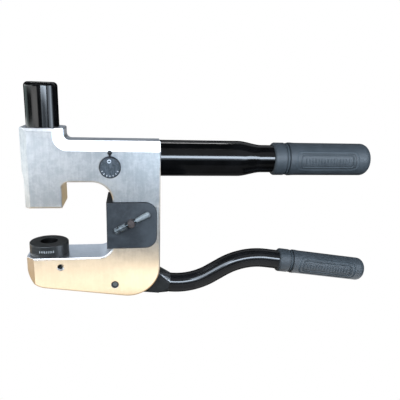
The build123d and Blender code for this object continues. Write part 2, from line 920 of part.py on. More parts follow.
def check_balls():
    ball = Sphere(check_ball_diameter / 2)
    return Compound(children=[Pos(check_ball_x(), 0, height) * ball for height in valve_bore_heights()])


def check_springs():
    springs = []
    low = check_ball_x() + check_ball_diameter / 2 + slide_gap
    high = column_right - valve_plug_length - slide_gap
    outer = check_spring_diameter / 2
    for height in valve_bore_heights():
        sleeve = rod_x(outer, low, high, 0, height)
        springs.append(sleeve - rod_x(outer - check_spring_wire, low - overcut, high + overcut, 0, height))
    return Compound(children=springs)


# Lever

def lever_pivot_pin():
    end = half_frame - pivot_pin_recess
    body = rod_y(pivot_pin_diameter / 2, -end, end, pivot_x, pivot_z)
    return chamfer(body.edges().filter_by(GeomType.CIRCLE), pivot_pin_chamfer)


def pivot_circlips():
    rings = []
    start = half_frame - pivot_pin_recess + 2 * seat_gap
    outer = pivot_pin_diameter / 2 + circlip_grip
    for side in (-1, 1):
        low, high = sorted((side * start, side * (start + circlip_height)))
        ring = rod_y(outer, low, high, pivot_x, pivot_z)
        rings.append(ring - rod_y(outer - circlip_width, low - overcut, high + overcut, pivot_x, pivot_z))
    return Compound(children=rings)


def pivot_bush():
    half = knuckle_width / 2
    inner = pivot_pin_diameter / 2 + running_gap
    body = rod_y(inner + pivot_bush_wall, -half, half, pivot_x, pivot_z)
    return body - rod_y(inner, -half - overcut, half + overcut, pivot_x, pivot_z)


def lever_route():
    """The lever's middle line from the knuckle to the grip's far end, in X and Z."""
    tube_start = (pivot_x + knuckle_end, knuckle_axis_z())
    heading = math.radians(lever_start_deg)
    first = JernArc(tube_start, (math.cos(heading), math.sin(heading)), lever_low_radius,
                    lever_rise_deg - lever_start_deg)
    straight = Line(first @ 1, first @ 1 + (first % 1) * lever_run)
    second = JernArc(straight @ 1, straight % 1, lever_high_radius, lever_fall_deg - lever_rise_deg)
    neck = Line(second @ 1, second @ 1 + (second % 1) * lever_neck)
    return first, straight, second, neck


def knuckle_axis_z():
    return pivot_z - lever_start_drop


def lever_grip_place():
    neck = lever_route()[-1]
    start = neck @ 1
    return Pos(start.X, 0, start.Y) * Rot(0, -lever_fall_deg, 0)


def lever_tube():
    route = lever_route()
    path = Plane.XZ * Wire(list(route))
    radius = lever_tube_diameter / 2
    section = Plane(origin=path @ 0, z_dir=path % 0) * Circle(radius)
    body = sweep(section, path)
    stub_length = lever_grip_length - grip_end_wall - free_gap
    body += lever_grip_place() * rod_x(lever_stub_diameter / 2, -overcut, stub_length)
    spigot_place = Plane(origin=path @ 0, z_dir=-(path % 0)) * Pos(0, 0, lever_spigot_length / 2)
    body += spigot_place * Cylinder(lever_spigot_diameter / 2, lever_spigot_length)
    bore = lever_stub_diameter / 2 - lever_tube_wall
    return body - lever_grip_place() * rod_x(bore, lever_neck, stub_length + overcut)


def lever_knuckle():
    half = knuckle_width / 2
    top = knuckle_top_drop
    front = pivot_x + knuckle_throat
    axis_z = knuckle_axis_z()
    high = -top
    low = high - knuckle_front_height
    side = [
        (pivot_x, pivot_z + knuckle_eye_radius),
        (front, high),
        (front, low),
        (pivot_x + roller_arm, low + knuckle_belly),
        (pivot_x, pivot_z - knuckle_eye_radius),
    ]
    body = slab(make_face(Polyline(*side, close=True)), half)
    body += rod_y(knuckle_eye_radius, -half, half, pivot_x, pivot_z)
    tube_plane = lever_tube_plane()
    start_plane = Plane(origin=(front, 0, (high + low) / 2), x_dir=(0, 1, 0), z_dir=(1, 0, 0))
    start_face = start_plane * RectangleRounded(knuckle_width, knuckle_front_height, knuckle_corner)
    end_size = lever_tube_diameter + 2 * lever_rim
    end_face = tube_plane * RectangleRounded(end_size, end_size, end_size / 2 - knuckle_flat)
    body += loft([start_face, end_face])
    bush_room = pivot_pin_diameter / 2 + running_gap + pivot_bush_wall + seat_gap
    body -= rod_y(bush_room, -half - overcut, half + overcut, pivot_x, pivot_z)
    spigot_depth = lever_spigot_length + free_gap
    spigot_room = Cylinder(lever_spigot_diameter / 2 + seat_gap, spigot_depth)
    body -= tube_plane * Pos(0, 0, -spigot_depth / 2) * spigot_room
    body -= roller_pocket()
    x, z = roller_centre()
    body -= rod_y(roller_pin_diameter / 2 + seat_gap, -half - overcut, half + overcut, x, z)
    return body


def lever_tube_plane():
    route = lever_route()[0]
    start = route @ 0
    heading = route % 0
    return Plane(origin=(start.X, 0, start.Y), x_dir=(0, 1, 0), z_dir=(heading.X, 0, heading.Y))


def roller_pocket():
    x, z = roller_centre()
    half = pocket_length / 2
    width = plunger_head_diameter / 2 + pocket_gap
    return block(x - half, x + half, -width, width, z - roller_radius - pocket_floor, jaw_top)


def cam_roller():
    x, z = roller_centre()
    half = roller_width / 2
    body = rod_y(roller_radius, -half, half, x, z)
    return body - rod_y(roller_pin_diameter / 2 + running_gap, -half - overcut, half + overcut, x, z)


def roller_pin():
    x, z = roller_centre()
    half = knuckle_width / 2 - free_gap
    return rod_y(roller_pin_diameter / 2, -half, half, x, z)


# Edge guide and clamp

def edge_guide():
    outer = half_frame + free_gap + guide_plate
    right = guide_left + guide_length
    high = guide_low + guide_height
    corners = [(guide_left, guide_low), (right, guide_low), (right, high), (guide_left, high)]
    face = make_face(Polyline(*corners, close=True))
    face = round_corner(face, corners[1], guide_corner_radius)
    face = round_corner(face, corners[2], guide_corner_radius)
    body = slab(face, outer)
    outside = body.edges().filter_by(lambda edge: abs(abs((edge @ 0.5).Y) - outer) < near)
    body = chamfer(outside, guide_edge)
    body -= block(guide_left + guide_wall, far, -half_frame - free_gap, half_frame + free_gap, -far, far)
    fillet_start = jaw_top + throat_low_radius + guide_edge
    notch = [
        (guide_left + guide_wall, fillet_start),
        (guide_left + guide_wall - guide_relief, guide_low),
        (guide_left + guide_wall - guide_relief, -far),
        (guide_left + guide_wall + overcut, -far),
        (guide_left + guide_wall + overcut, fillet_start),
    ]
    body -= slab(make_face(Polyline(*notch, close=True)), half_frame + free_gap)
    return body - rod_y(clamp_thread / 2 + seat_gap, -far, 0, clamp_x, clamp_z)


def clamp_bar_y():
    return -half_frame - free_gap - guide_plate - free_gap - clamp_hub_height / 2


def clamp_screw():
    plate = -half_frame - free_gap - guide_plate
    hub_inner = plate - free_gap
    hub_outer = hub_inner - clamp_hub_height
    body = rod_y(clamp_hub_diameter / 2, hub_outer, hub_inner, clamp_x, clamp_z)
    body = chamfer(body.edges().sort_by(Axis.Y)[0], guide_edge)
    body += rod_y(clamp_thread / 2, hub_inner - overcut, -half_frame - clamp_tip_gap, clamp_x, clamp_z)
    return body - bar_place() * rod_x(bar_diameter / 2 + seat_gap, -far / 4, far / 4)


def bar_place():
    return Pos(clamp_x, clamp_bar_y(), clamp_z) * Rot(0, -bar_angle_deg, 0)


def clamp_bar():
    return bar_place() * rod_x(bar_diameter / 2, -bar_short, bar_long)


def bar_handle():
    start = clamp_hub_diameter / 2 + bar_collar_gap
    end = start + bar_handle_length
    thick = bar_handle_diameter / 2
    outline = [(start, 0), (start, bar_handle_root / 2), (end - thick, thick), (end, thick), (end, 0)]
    face = round_corner(make_face(Polyline(*outline, close=True)), outline[3], bar_handle_round)
    face = round_corner(face, outline[1], bar_nut_edge)
    body = revolve(face, Axis.X)
    return bar_place() * (body - rod_x(bar_diameter / 2 + seat_gap, start - overcut, bar_long + seat_gap))


def bar_end_nut():
    end = -clamp_hub_diameter / 2 - bar_collar_gap
    start = end - bar_nut_length
    body = rod_x(bar_nut_diameter / 2, start, end)
    body = chamfer(body.edges().filter_by(GeomType.CIRCLE), bar_nut_edge)
    groove_start = start + bar_nut_end
    groove = rod_x(bar_nut_diameter, groove_start, groove_start + bar_nut_groove)
    groove -= rod_x((bar_nut_diameter - bar_nut_groove) / 2, start, end)
    body -= groove
    return bar_place() * (body - rod_x(bar_diameter / 2 + seat_gap, -bar_short - seat_gap, end + overcut))


makers = [
    frame_head, frame_jaw, frame_dowels, die, die_lock_screw,
    cylinder_barrel, barrel_seal, ram_bush, ram_wiper,
    ram, piston_seal, punch, punch_screw, return_spring,
    reservoir_tube, reservoir_bladder, filler_plug, filler_seal, upper_grip,
    release_knob, knob_thumb_pin, knob_grub_screw, valve_spindle, valve_gland, valve_seal, release_ball,
    pump_plunger, pump_spring, pump_gland, pump_seal, check_valve_plugs, check_balls, check_springs,
    lever_pivot_pin, pivot_circlips, pivot_bush, cam_roller, roller_pin,
    lever_knuckle, lever_tube, lever_grip,
    edge_guide, clamp_screw, clamp_bar, bar_handle, bar_end_nut,
]

os.makedirs("parts", exist_ok=True)
for maker in makers:
    export_step(maker(), f"parts/{maker.__name__}.step")
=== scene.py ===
# %% [markdown]
# # A hand hydraulic hole punch
# The tool has a C-shaped alloy frame with a black cylinder on its head, a round die on its jaw, two
# handles with rubber grips and a dark guide round its column. The packed model already gives every piece
# its true size and place, so this lesson loads it, dresses it with finishes and adds the small moulded
# and machined details. Everything is in metres, in the packed model's own frame.

# %% Load the packed model
import json
import math

import bpy
from mathutils import Matrix, Vector


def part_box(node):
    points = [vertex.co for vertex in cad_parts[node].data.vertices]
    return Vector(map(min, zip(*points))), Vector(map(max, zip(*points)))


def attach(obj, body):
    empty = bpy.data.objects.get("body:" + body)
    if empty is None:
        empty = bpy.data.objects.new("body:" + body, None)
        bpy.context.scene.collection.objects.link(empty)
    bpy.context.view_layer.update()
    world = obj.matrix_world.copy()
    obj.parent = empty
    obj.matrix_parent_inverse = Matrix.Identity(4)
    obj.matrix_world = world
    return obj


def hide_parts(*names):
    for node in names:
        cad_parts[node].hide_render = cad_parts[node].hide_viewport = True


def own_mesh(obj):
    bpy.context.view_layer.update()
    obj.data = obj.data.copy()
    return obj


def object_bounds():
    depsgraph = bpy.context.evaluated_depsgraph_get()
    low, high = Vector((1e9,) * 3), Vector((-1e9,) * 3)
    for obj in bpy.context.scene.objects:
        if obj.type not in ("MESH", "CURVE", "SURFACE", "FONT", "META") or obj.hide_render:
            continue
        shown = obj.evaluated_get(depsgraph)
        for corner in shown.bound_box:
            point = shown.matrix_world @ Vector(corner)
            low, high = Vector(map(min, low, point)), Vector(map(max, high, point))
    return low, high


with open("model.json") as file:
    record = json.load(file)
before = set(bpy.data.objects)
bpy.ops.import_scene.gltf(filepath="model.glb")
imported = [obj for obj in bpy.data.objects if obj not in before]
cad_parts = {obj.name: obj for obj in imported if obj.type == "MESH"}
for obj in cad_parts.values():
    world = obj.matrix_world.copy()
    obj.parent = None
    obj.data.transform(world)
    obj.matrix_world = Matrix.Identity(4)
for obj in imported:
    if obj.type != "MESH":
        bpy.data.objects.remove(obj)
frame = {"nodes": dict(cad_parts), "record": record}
cad_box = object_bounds()
nodes = frame["nodes"]
mm = 0.001

# %% [markdown]
# Node trees are long to write by hand, so one small class wraps a socket. Arithmetic on it adds Math
# nodes, which lets a finish read like a formula, and its node method adds any other node: settings first,
# because some of them change which sockets a node has, then the values or links of the sockets. The same
# class serves shader trees and Geometry Nodes trees.

# %% A socket that does arithmetic
class Wire:
    """One socket of a node tree. Arithmetic on a wire adds Math nodes to the same tree."""

    def __init__(self, tree, socket=None):
        self.tree = tree
        self.socket = socket

    def node(self, kind, settings=(), sockets=(), take=0):
        """Adds a node of any kind and returns the output that is named or numbered by take."""
        made = self.tree.nodes.new(kind)
        for name, value in dict(settings).items():
            if name == "stops":
                set_stops(made.color_ramp, value)
            else:
                setattr(made, name, value)
        for name, value in dict(sockets).items():
            for part in value if isinstance(value, list) else [value]:
                if isinstance(part, Wire):
                    self.tree.links.new(part.socket, made.inputs[name])
                else:
                    made.inputs[name].default_value = part
        if len(made.outputs) == 0:
            return None
        return Wire(self.tree, made.outputs[take])

    def maths(self, operation, first, second=0.0):
        return self.node("ShaderNodeMath", {"operation": operation}, {0: first, 1: second})

    def __add__(self, other):
        return self.maths("ADD", self, other)

    __radd__ = __add__

    def __sub__(self, other):
        return self.maths("SUBTRACT", self, other)

    def __rsub__(self, other):
        return self.maths("SUBTRACT", other, self)

    def __mul__(self, other):
        return self.maths("MULTIPLY", self, other)

    __rmul__ = __mul__

    def __truediv__(self, other):
        return self.maths("DIVIDE", self, other)

    def __rtruediv__(self, other):
        return self.maths("DIVIDE", other, self)

    def along(self, axis):
        """The part of a vector along one axis."""
        return self.node("ShaderNodeSeparateXYZ", (), {0: self}, axis)

    def rise(self, low, high):
        """0 below low, 1 above high and a smooth step between them."""
        limits = {"Value": self, "From Min": low, "From Max": high}
        return self.node("ShaderNodeMapRange", {"interpolation_type": "SMOOTHSTEP"}, limits)

    def mix(self, first, second):
        """Blends two colours by this wire's value. A colour is a wire or its red, green and blue."""
        first, second = [end if isinstance(end, Wire) else (*end, 1.0) for end in (first, second)]
        return self.node("ShaderNodeMix", {"data_type": "RGBA"}, {0: self, 6: first, 7: second}, 2)


def set_stops(ramp, stops):
    """Gives a colour ramp its stops, each a position and a colour."""
    while len(ramp.elements) < len(stops):
        ramp.elements.new(0.5)
    for element, (position, colour) in zip(ramp.elements, stops):
        element.position = position
        element.color = (*colour, 1.0)


print("operators:", [name for name in vars(Wire) if name.startswith("__") and name != "__init__"][:10])

# %% [markdown]
# The photograph's camera stands in front of the tool, a little to the right of the punch, and looks down
# on it. It was solved from the outlines of the pieces: its place, its turn, how far it looks down, a small
# tilt and its focal length in picture pixels. The same camera is built here from these values.

# %% Camera
picture_width = 400.0
sensor_width = 36.0
focal_pixels = 471.92
middle_x = 209.916
middle_y = 209.041
camera_place = Vector((0.108252, -0.624192, 0.210931))
camera_yaw = 0.171367
camera_pitch = 0.261224
camera_roll = -0.035012


def camera_axes():
    """The camera's right, up and backward directions."""
    yaw_right = math.sin(camera_yaw)
    yaw_ahead = math.cos(camera_yaw)
    ahead = Vector((yaw_right, yaw_ahead, -math.tan(camera_pitch))).normalized()
    right = Vector((yaw_ahead, -yaw_right, 0.0))
    down = ahead.cross(right)
    turned_right = math.cos(camera_roll) * right + math.sin(camera_roll) * down
    turned_down = math.cos(camera_roll) * down - math.sin(camera_roll) * right
    return turned_right, -turned_down, -ahead


lens = bpy.data.cameras.new("camera")
lens.sensor_width = sensor_width
lens.lens = focal_pixels * sensor_width / picture_width
lens.shift_x = (picture_width / 2 - middle_x) / picture_width
lens.shift_y = (middle_y - picture_width / 2) / picture_width
lens.clip_start = 10.0 * mm
camera = bpy.data.objects.new("camera", lens)
camera.matrix_world = Matrix.Translation(camera_place) @ Matrix(camera_axes()).transposed().to_4x4()
bpy.context.scene.collection.objects.link(camera)
bpy.context.scene.camera = camera
bpy.context.scene.view_settings.view_transform = "Standard"
print("lens:", round(lens.lens, 2), "mm")

# %% [markdown]
# The picture is a bright studio shot: the ground behind the tool is pure white and shows no shadow. The
# floor is a wide white plane that only the camera sees, and the sky is white to the camera too. What the
# metal mirrors is another matter: it needs darker and warmer places, so for every other ray the sky is a
# soft set of bands. Each band is a height, from -1 straight down to 1 straight up, with the colour of the
# light from there.

# %% Floor and sky
floor_height = cad_box[0].z - 0.5 * mm
floor_reach = 6.0
sky_strength = 2.5
ground_grey = (0.10, 0.10, 0.10)
low_grey = (0.12, 0.12, 0.12)
high_grey = (0.28, 0.29, 0.31)
front_bands = [(-1.00, ground_grey), (-0.10, low_grey), (0.10, (0.34, 0.35, 0.37)), (1.00, high_grey)]
back_bands = [(-1.00, ground_grey), (0.05, low_grey), (0.40, (0.40, 0.42, 0.44)), (1.00, high_grey)]
left_bands = [
    (-1.00, (0.12, 0.11, 0.10)), (-0.42, (0.84, 0.42, 0.05)), (-0.30, (0.97, 0.55, 0.16)),
    (-0.24, (1.55, 1.64, 1.63)), (0.15, (2.20, 2.36, 2.36)), (0.50, (0.35, 0.36, 0.38)),
]
right_bands = [(-1.00, ground_grey), (0.20, (0.16, 0.16, 0.17)), (1.00, high_grey)]


def new_finish(name):
    """A new material with an empty node tree, and a wire to start from."""
    finish = bpy.data.materials.new(name)
    finish.use_nodes = True
    finish.node_tree.nodes.clear()
    return finish, Wire(finish.node_tree)


def flat_piece(name, corners, finish):
    """A stage piece of one face."""
    mesh = bpy.data.meshes.new(name)
    mesh.from_pydata(corners, [], [tuple(range(len(corners)))])
    mesh.materials.append(finish)
    piece = bpy.data.objects.new(name, mesh)
    bpy.context.scene.collection.objects.link(piece)
    return piece


def level(x_low, x_high, y_low, y_high, z):
    """The corners of a level card."""
    return [(x_low, y_low, z), (x_high, y_low, z), (x_high, y_high, z), (x_low, y_high, z)]


def sky_bands(height, bands):
    """The colour of the sky at a height, from bands that are stored at a share of the sky's strength."""
    stops = []
    for place, colour in bands:
        stops.append(((place + 1) / 2, [value / sky_strength for value in colour]))
    return height.node("ShaderNodeValToRGB", {"stops": stops}, {0: 0.5 * height + 0.5})


floor_finish, start = new_finish("floor_finish")
white = start.node("ShaderNodeEmission", (), {"Color": (1.0, 1.0, 1.0, 1.0)})
start.node("ShaderNodeOutputMaterial", (), {"Surface": white})
floor_corners = level(-floor_reach, floor_reach, -floor_reach, floor_reach, floor_height)
floor = flat_piece("floor", floor_corners, floor_finish)
floor.visible_diffuse = False
floor.visible_glossy = False
floor.visible_shadow = False

sky = bpy.data.worlds.new("sky")
sky.use_nodes = True
sky.node_tree.nodes.clear()
bpy.context.scene.world = sky
start = Wire(sky.node_tree)
direction = start.node("ShaderNodeTexCoord", (), (), "Generated")
rightward = direction.along("X")
upward = direction.along("Z")
seen = start.node("ShaderNodeLightPath", (), (), "Is Camera Ray")
behind = direction.along("Y").rise(-0.3, 0.3)
around = behind.mix(sky_bands(upward, front_bands), sky_bands(upward, back_bands))
around = (0 - rightward).rise(0.45, 0.85).mix(around, sky_bands(upward, left_bands))
around = rightward.rise(0.60, 0.90).mix(around, sky_bands(upward, right_bands))
dim = start.node("ShaderNodeBackground", (), {"Color": around, "Strength": sky_strength})
bright = start.node("ShaderNodeBackground", (), {"Color": (1.0, 1.0, 1.0, 1.0)})
both = start.node("ShaderNodeMixShader", (), {0: seen, 1: dim, 2: bright})
start.node("ShaderNodeOutputWorld", (), {"Surface": both})
print("floor at", round(floor_height / mm, 1), "mm")

# %% [markdown]
# Soft boxes make the highlights. A studio photographer hides a lamp from one piece with a flag and opens
# it to another. Light linking does the same here: each light has a group of pieces that it may reach. The
# pieces of the frame, the round pieces and the matte pieces are such groups, and a few pieces that need a
# light of their own have a group of their own.

# %% Groups of pieces that a light reaches
def lit_group(name, members):
    """A group of packed nodes that a light may reach."""
    group = bpy.data.collections.new(name)
    for member in members:
        group.objects.link(nodes[member])
    return group


record_rows = frame["record"]["subparts"]
frame_names = ["frame_head", "frame_jaw", "frame_dowels"]
round_names = ["cylinder_barrel", "die"]
handle_names = ["reservoir_tube", "upper_grip", "lever_grip", "lever_knuckle"]
other_names = [name for name in nodes if name not in frame_names + round_names]
enamel_names = [row["node"] for row in record_rows if row["material_slot"] == "black_paint"]
matte_names = [name for name in other_names + ["die"] if name not in enamel_names]
lit_frame = lit_group("lit_frame", frame_names)
lit_jaw = lit_group("lit_jaw", ["frame_jaw"])
lit_rounds = lit_group("lit_rounds", round_names)
lit_sides = lit_group("lit_sides", frame_names + round_names)
lit_black = lit_group("lit_black", other_names + ["cylinder_barrel"])
lit_matte = lit_group("lit_matte", matte_names + ["lever_tube", "lever_knuckle"])
lit_tubes = lit_group("lit_tubes", ["reservoir_tube", "cylinder_barrel"])
lit_handles = lit_group("lit_handles", handle_names)
lit_low = lit_group("lit_low", ["lever_grip"])
lit_lever = lit_group("lit_lever", ["lever_tube"])
lit_knuckle = lit_group("lit_knuckle", ["lever_knuckle"])
print("groups:", [group.name for group in bpy.data.collections if group.name.startswith("lit_")])

# %% [markdown]
# Most lights are glowing cards that the camera does not see. A card's glow may fade along one axis, so that
# its highlight has one crisp and one soft side. To the pieces outside its group a card is black, as a flag
# is, so a plain black card serves where only a dark reflection is wanted.

# %% Cards and flags
def new_surface(name):
    """A new finish, a wire to start from and a wire to the place on the piece, in metres."""
    finish, start = new_finish(name)
    return finish, start, start.node("ShaderNodeTexCoord", (), (), "Object")


def light_card(name, lit, corners, glow):
    """A card that glows on a group of pieces. Its glow is an axis and the light at places along it."""
    finish, start, place = new_surface(name + "_glow")
    axis, stops = glow
    low = stops[0][0]
    reach = stops[-1][0] - low
    brightest = max(max(light) for spot, light in stops)
    shares = [((spot - low) / reach, [part / brightest for part in light]) for spot, light in stops]
    light = start.node("ShaderNodeValToRGB", {"stops": shares}, {0: (place.along(axis) - low) / reach})
    shine = start.node("ShaderNodeEmission", (), {"Color": light, "Strength": brightest})
    start.node("ShaderNodeOutputMaterial", (), {"Surface": shine})
    card = flat_piece(name, corners, finish)
    card.visible_camera = False
    card.visible_shadow = False
    card.light_linking.receiver_collection = lit


def dark_flag(name, corners):
    """A black card that hides the sky from polished pieces."""
    finish, start = new_finish(name + "_black")
    surface = start.node("ShaderNodeBsdfDiffuse", (), {"Color": (0.0, 0.0, 0.0, 1.0)})
    start.node("ShaderNodeOutputMaterial", (), {"Surface": surface})
    card = flat_piece(name, corners, finish)
    card.visible_camera = False
    card.visible_diffuse = False
    card.visible_shadow = False


def standing(here, there, low, high):
    """The corners of a card that stands on a line from one place on the floor plan to another."""
    return [(*here, low), (*there, low), (*there, high), (*here, high)]


def tint(colour, strength):
    return tuple(strength * part for part in colour)


def faded(axis, colour, strengths):
    """A glow of one colour whose strength changes along an axis."""
    return axis, [(place, tint(colour, strength)) for place, strength in strengths]


def even(colour, strength=1.0):
    """A glow that is the same all over a card, and on to ten metres below and above."""
    return faded("Z", colour, [(-10.0, strength), (10.0, strength)])


print("a standing card:", standing((0.0, 0.0), (1.0, 0.0), 0.0, 0.5))

# %% [markdown]
# A tall box in front draws the long line on the black tubes and the upright bands on the cylinder. It is
# eight cards side by side: each has its own dim foot, and its bright zone lies a little lower towards the
# right, as the highlights do. A wing carries it on for the handles, boxes at the side and at the left mark
# the edges of the cylinder, and dark flags keep the gaps between its bands black. A fill box and a small
# bounce from the floor lift the matte pieces.

# %% Boxes for the black pieces
cool = (0.74, 0.86, 1.0)
neutral = (1.0, 1.0, 1.0)
box_y = -0.75
box_low = 0.075
box_high = 0.42
box_light = 19.0
box_top_light = 5.0
foot_high = 0.19
foot_low_share = 0.8
foot_high_share = 1.3
bright_low = 0.26
bright_high = 0.40
front_places = [0.108, 0.19, 0.30, 0.40, 0.46, 0.52, 0.58, 0.66, 0.75]
front_feet = [2.4, 1.0, 1.0, 1.0, 1.7, 1.9, 2.2, 1.4]
front_drops = [0.0, 0.0, 0.005, 0.01, 0.014, 0.018, 0.022, 0.026]
for number, (foot, drop) in enumerate(zip(front_feet, front_drops)):
    left, right = front_places[number:number + 2]
    front_stops = [(box_low, foot_low_share * foot), (foot_high - drop, foot_high_share * foot),
                   (bright_low - drop, box_light), (bright_high - drop, box_light),
                   (box_high, box_top_light)]
    corners = standing((left, box_y), (right, box_y), box_low, box_high)
    light_card("front_box_" + str(number), lit_black, corners, faded("Z", cool, front_stops))

wing_start = front_places[-1]
wing_end = 1.60
wing_corners = [(wing_start, box_y, 0.20), (wing_end, box_y, 0.25), (wing_end, box_y, 0.75),
                (wing_start, box_y, box_high)]
light_card("wing_box", lit_handles, wing_corners, even(cool, 17.0))
side_x = 0.95
side_near = -0.72
side_far = 0.02
side_stops = [(side_near, 2.0), (-0.58, 3.4), (-0.42, 4.4), (-0.28, 8.5), (-0.17, 6.5), (-0.09, 1.6),
              (side_far, 0.4)]
side_corners = standing((side_x, side_near), (side_x, side_far), -0.02, 0.5)
light_card("side_box", lit_sides, side_corners, faded("Y", cool, side_stops))
fill_corners = standing((-0.75, box_y), (front_places[0], box_y), 0.24, 0.7)
light_card("fill_box", lit_matte, fill_corners, even(cool, 9.0))
sheet_height = floor_height + 1.0 * mm
light_card("low_bounce", lit_low, level(0.33, 0.47, -0.12, 0.10, sheet_height), even(neutral, 1.6))
left_start = -1.3
left_end = -0.22
left_stops = [(left_start, 1.0), (-1.0, 1.8), (-0.7, 2.4), (-0.29, 2.4), (left_end, 1.4)]
left_corners = standing((left_start, box_y), (left_end, box_y), box_low, 0.24)
light_card("left_box", lit_rounds, left_corners, faded("X", neutral, left_stops))
flag_high = 0.22
left_back_plan = [(-1.1, 0.08), (-1.1, 0.9)]
left_back_corners = standing(*left_back_plan, box_low, flag_high)
light_card("left_back_box", lit_rounds, left_back_corners, even((0.62, 0.80, 0.78)))
left_flag_plan = [(0.06, -0.76), (-1.4, -0.76), left_back_plan[0]]
back_flag_plan = [left_back_plan[1], (0.9, 0.9), (0.9, 0.03)]
for side, flag_plan in (("left", left_flag_plan), ("back", back_flag_plan)):
    for number, (here, there) in enumerate(zip(flag_plan, flag_plan[1:])):
        dark_flag(side + "_flag_" + str(number), standing(here, there, box_low, flag_high))

# %% [markdown]
# The alloy mirrors the whole room softly, so large panels give it its tones. A ceiling with two slopes
# whitens the bevels along its upper edges. Three cards in front, one each for the head, the beam and the
# column, give the flat face its satin grey: what the face mirrors lies low in front, and the glow grows
# steeply at the top of each card for the edges that lean back.

# %% Panels for the frame
ceiling_height = 1.2
ceiling_left = -0.6
ceiling_right = 0.9
panel_near = -0.55
panel_back = 0.55
slope_foot = 0.5
wall_x = 1.3
panel_light = 5.0
ceiling_stops = [(ceiling_left, 0.6), (-0.30, 0.9), (-0.12, 1.75), (0.0, panel_light),
                 (ceiling_right, panel_light)]
ceiling_corners = level(ceiling_left, ceiling_right, panel_near, panel_back, ceiling_height)
light_card("ceiling_panel", lit_frame, ceiling_corners, faded("X", neutral, ceiling_stops))
right_slope = [(ceiling_right, panel_near, ceiling_height), (ceiling_right, panel_back, ceiling_height),
               (wall_x, panel_back, slope_foot), (wall_x, panel_near, slope_foot)]
light_card("right_slope", lit_frame, right_slope, even(neutral, panel_light))
left_slope = [(ceiling_left, panel_near, ceiling_height), (-0.8, 1.0, ceiling_height),
              (-wall_x, 1.0, slope_foot), (-wall_x, panel_near, slope_foot)]
light_card("left_slope", lit_frame, left_slope, even(neutral, panel_light))

face_y = -0.745
face_low = -0.45
face_high = 0.07
pale_grey = (0.60, 0.62, 0.62)
face_foot = [(face_low, (0.30, 0.30, 0.28)), (-0.25, pale_grey)]
face_tops = {
    "head": [(-0.12, (0.85, 0.88, 0.88)), (-0.06, (0.20, 0.24, 0.25)), (0.015, (1.20, 1.28, 1.34)),
             (0.045, (7.30, 7.50, 7.50)), (face_high, (15.0, 15.1, 15.0))],
    "beam": [(-0.12, (0.70, 0.73, 0.73)), (-0.06, (0.10, 0.13, 0.14)), (0.015, (0.40, 0.45, 0.50)),
             (0.045, (2.40, 2.56, 2.72)), (face_high, (5.00, 5.15, 5.30))],
    "right": [(-0.12, (0.36, 0.39, 0.39)), (-0.05, (0.06, 0.09, 0.10)), (-0.01, (0.12, 0.16, 0.18)),
              (0.02, (6.40, 7.20, 7.80)), (face_high, (7.60, 8.40, 8.90))],
}
face_places = [-0.9, -0.06, 0.10, side_x]
for (name, top), left, right in zip(face_tops.items(), face_places, face_places[1:]):
    corners = standing((left, face_y), (right, face_y), face_low, face_high)
    light_card(name + "_face_box", lit_frame, corners, ("Z", face_foot + top))
corner_plan = [(side_x, face_y), (side_x, -0.50)]
light_card("corner_panel", lit_frame, standing(*corner_plan, -0.6, -0.02), even(pale_grey))
print("face cards meet at", face_places[1:-1])

# %% [markdown]
# Warm sheets lie on the floor under the tool and give the jaw and the column their cream lower sides. Dim
# cards behind and at the right tone the edges that face that way, and two long cards overhead draw the thin
# second lines on the tubes.

# %% Warm sheets and edge cards
cream = (1.0, 0.75, 0.467)
deep_tan = (1.0, 0.62, 0.28)
sky_blue = (0.88, 0.97, 1.08)
dark = (0.0, 0.0, 0.0)
sheet_near = -0.26
sheet_far = 0.10
sheet_parting = 0.09
tan_light = tint(deep_tan, 0.95)


def warm_glow(shade_end, light_start, first):
    """Cream light from a sheet, dark at its near edge, brightest where it starts and tan under the tool."""
    return "Y", [(sheet_near, dark), (shade_end, dark), (light_start, tint(cream, first)),
                 (-0.06, tint(cream, 2.65)), (-0.035, tan_light), (sheet_far, tan_light)]


jaw_sheet = level(-0.35, sheet_parting, sheet_near, sheet_far, sheet_height)
column_sheet = level(sheet_parting, 0.20, sheet_near, sheet_far, sheet_height)
light_card("jaw_sheet", lit_frame, jaw_sheet, warm_glow(-0.225, -0.19, 2.65))
light_card("column_sheet", lit_frame, column_sheet, warm_glow(-0.172, -0.152, 4.0))
edge_plan = [(wall_x, -0.9), (wall_x, -0.08), (wall_x, 0.45), (0.5, 1.3)]
tan_plan = [(-0.1, 0.8), (0.5, 0.8)]
back_plan = [(-1.2, 1.0), (1.2, 1.0)]
jaw_top_plan = [(-0.25, 0.3), (0.16, 0.3)]
back_low = 0.18
back_high = 0.80
back_glow = faded("Z", sky_blue, [(back_low, 0.12), (0.40, 0.28), (back_high, 0.34)])
edge_cards = [
    ("edge_panel", edge_plan[1:3], -0.8, 0.3, even(cream, 1.5)),
    ("edge_front", edge_plan[:2], -0.9, -0.02, even((0.55, 0.50, 0.42))),
    ("edge_back", edge_plan[2:], -0.8, 0.1, even((1.25, 1.2, 1.1))),
    ("tan_sheet", tan_plan, -0.4, -0.02, even((0.50, 0.34, 0.13))),
    ("back_box", back_plan, back_low, back_high, back_glow),
    ("jaw_top_card", jaw_top_plan, 0.03, 0.10, even(sky_blue, 1.35)),
]
for name, plan, low, high, glow in edge_cards:
    light_card(name, lit_frame, standing(*plan, low, high), glow)
line_end = 0.49
near_line = level(ceiling_left, line_end, -0.50, -0.40, ceiling_height)
far_line = level(ceiling_left, line_end, 0.54, 0.66, ceiling_height)
light_card("near_lamp", lit_tubes, near_line, even(neutral, 2.6))
light_card("far_lamp", lit_tubes, far_line, even(neutral, 8.0))
print("sheets at", round(sheet_height / mm, 1), "mm")

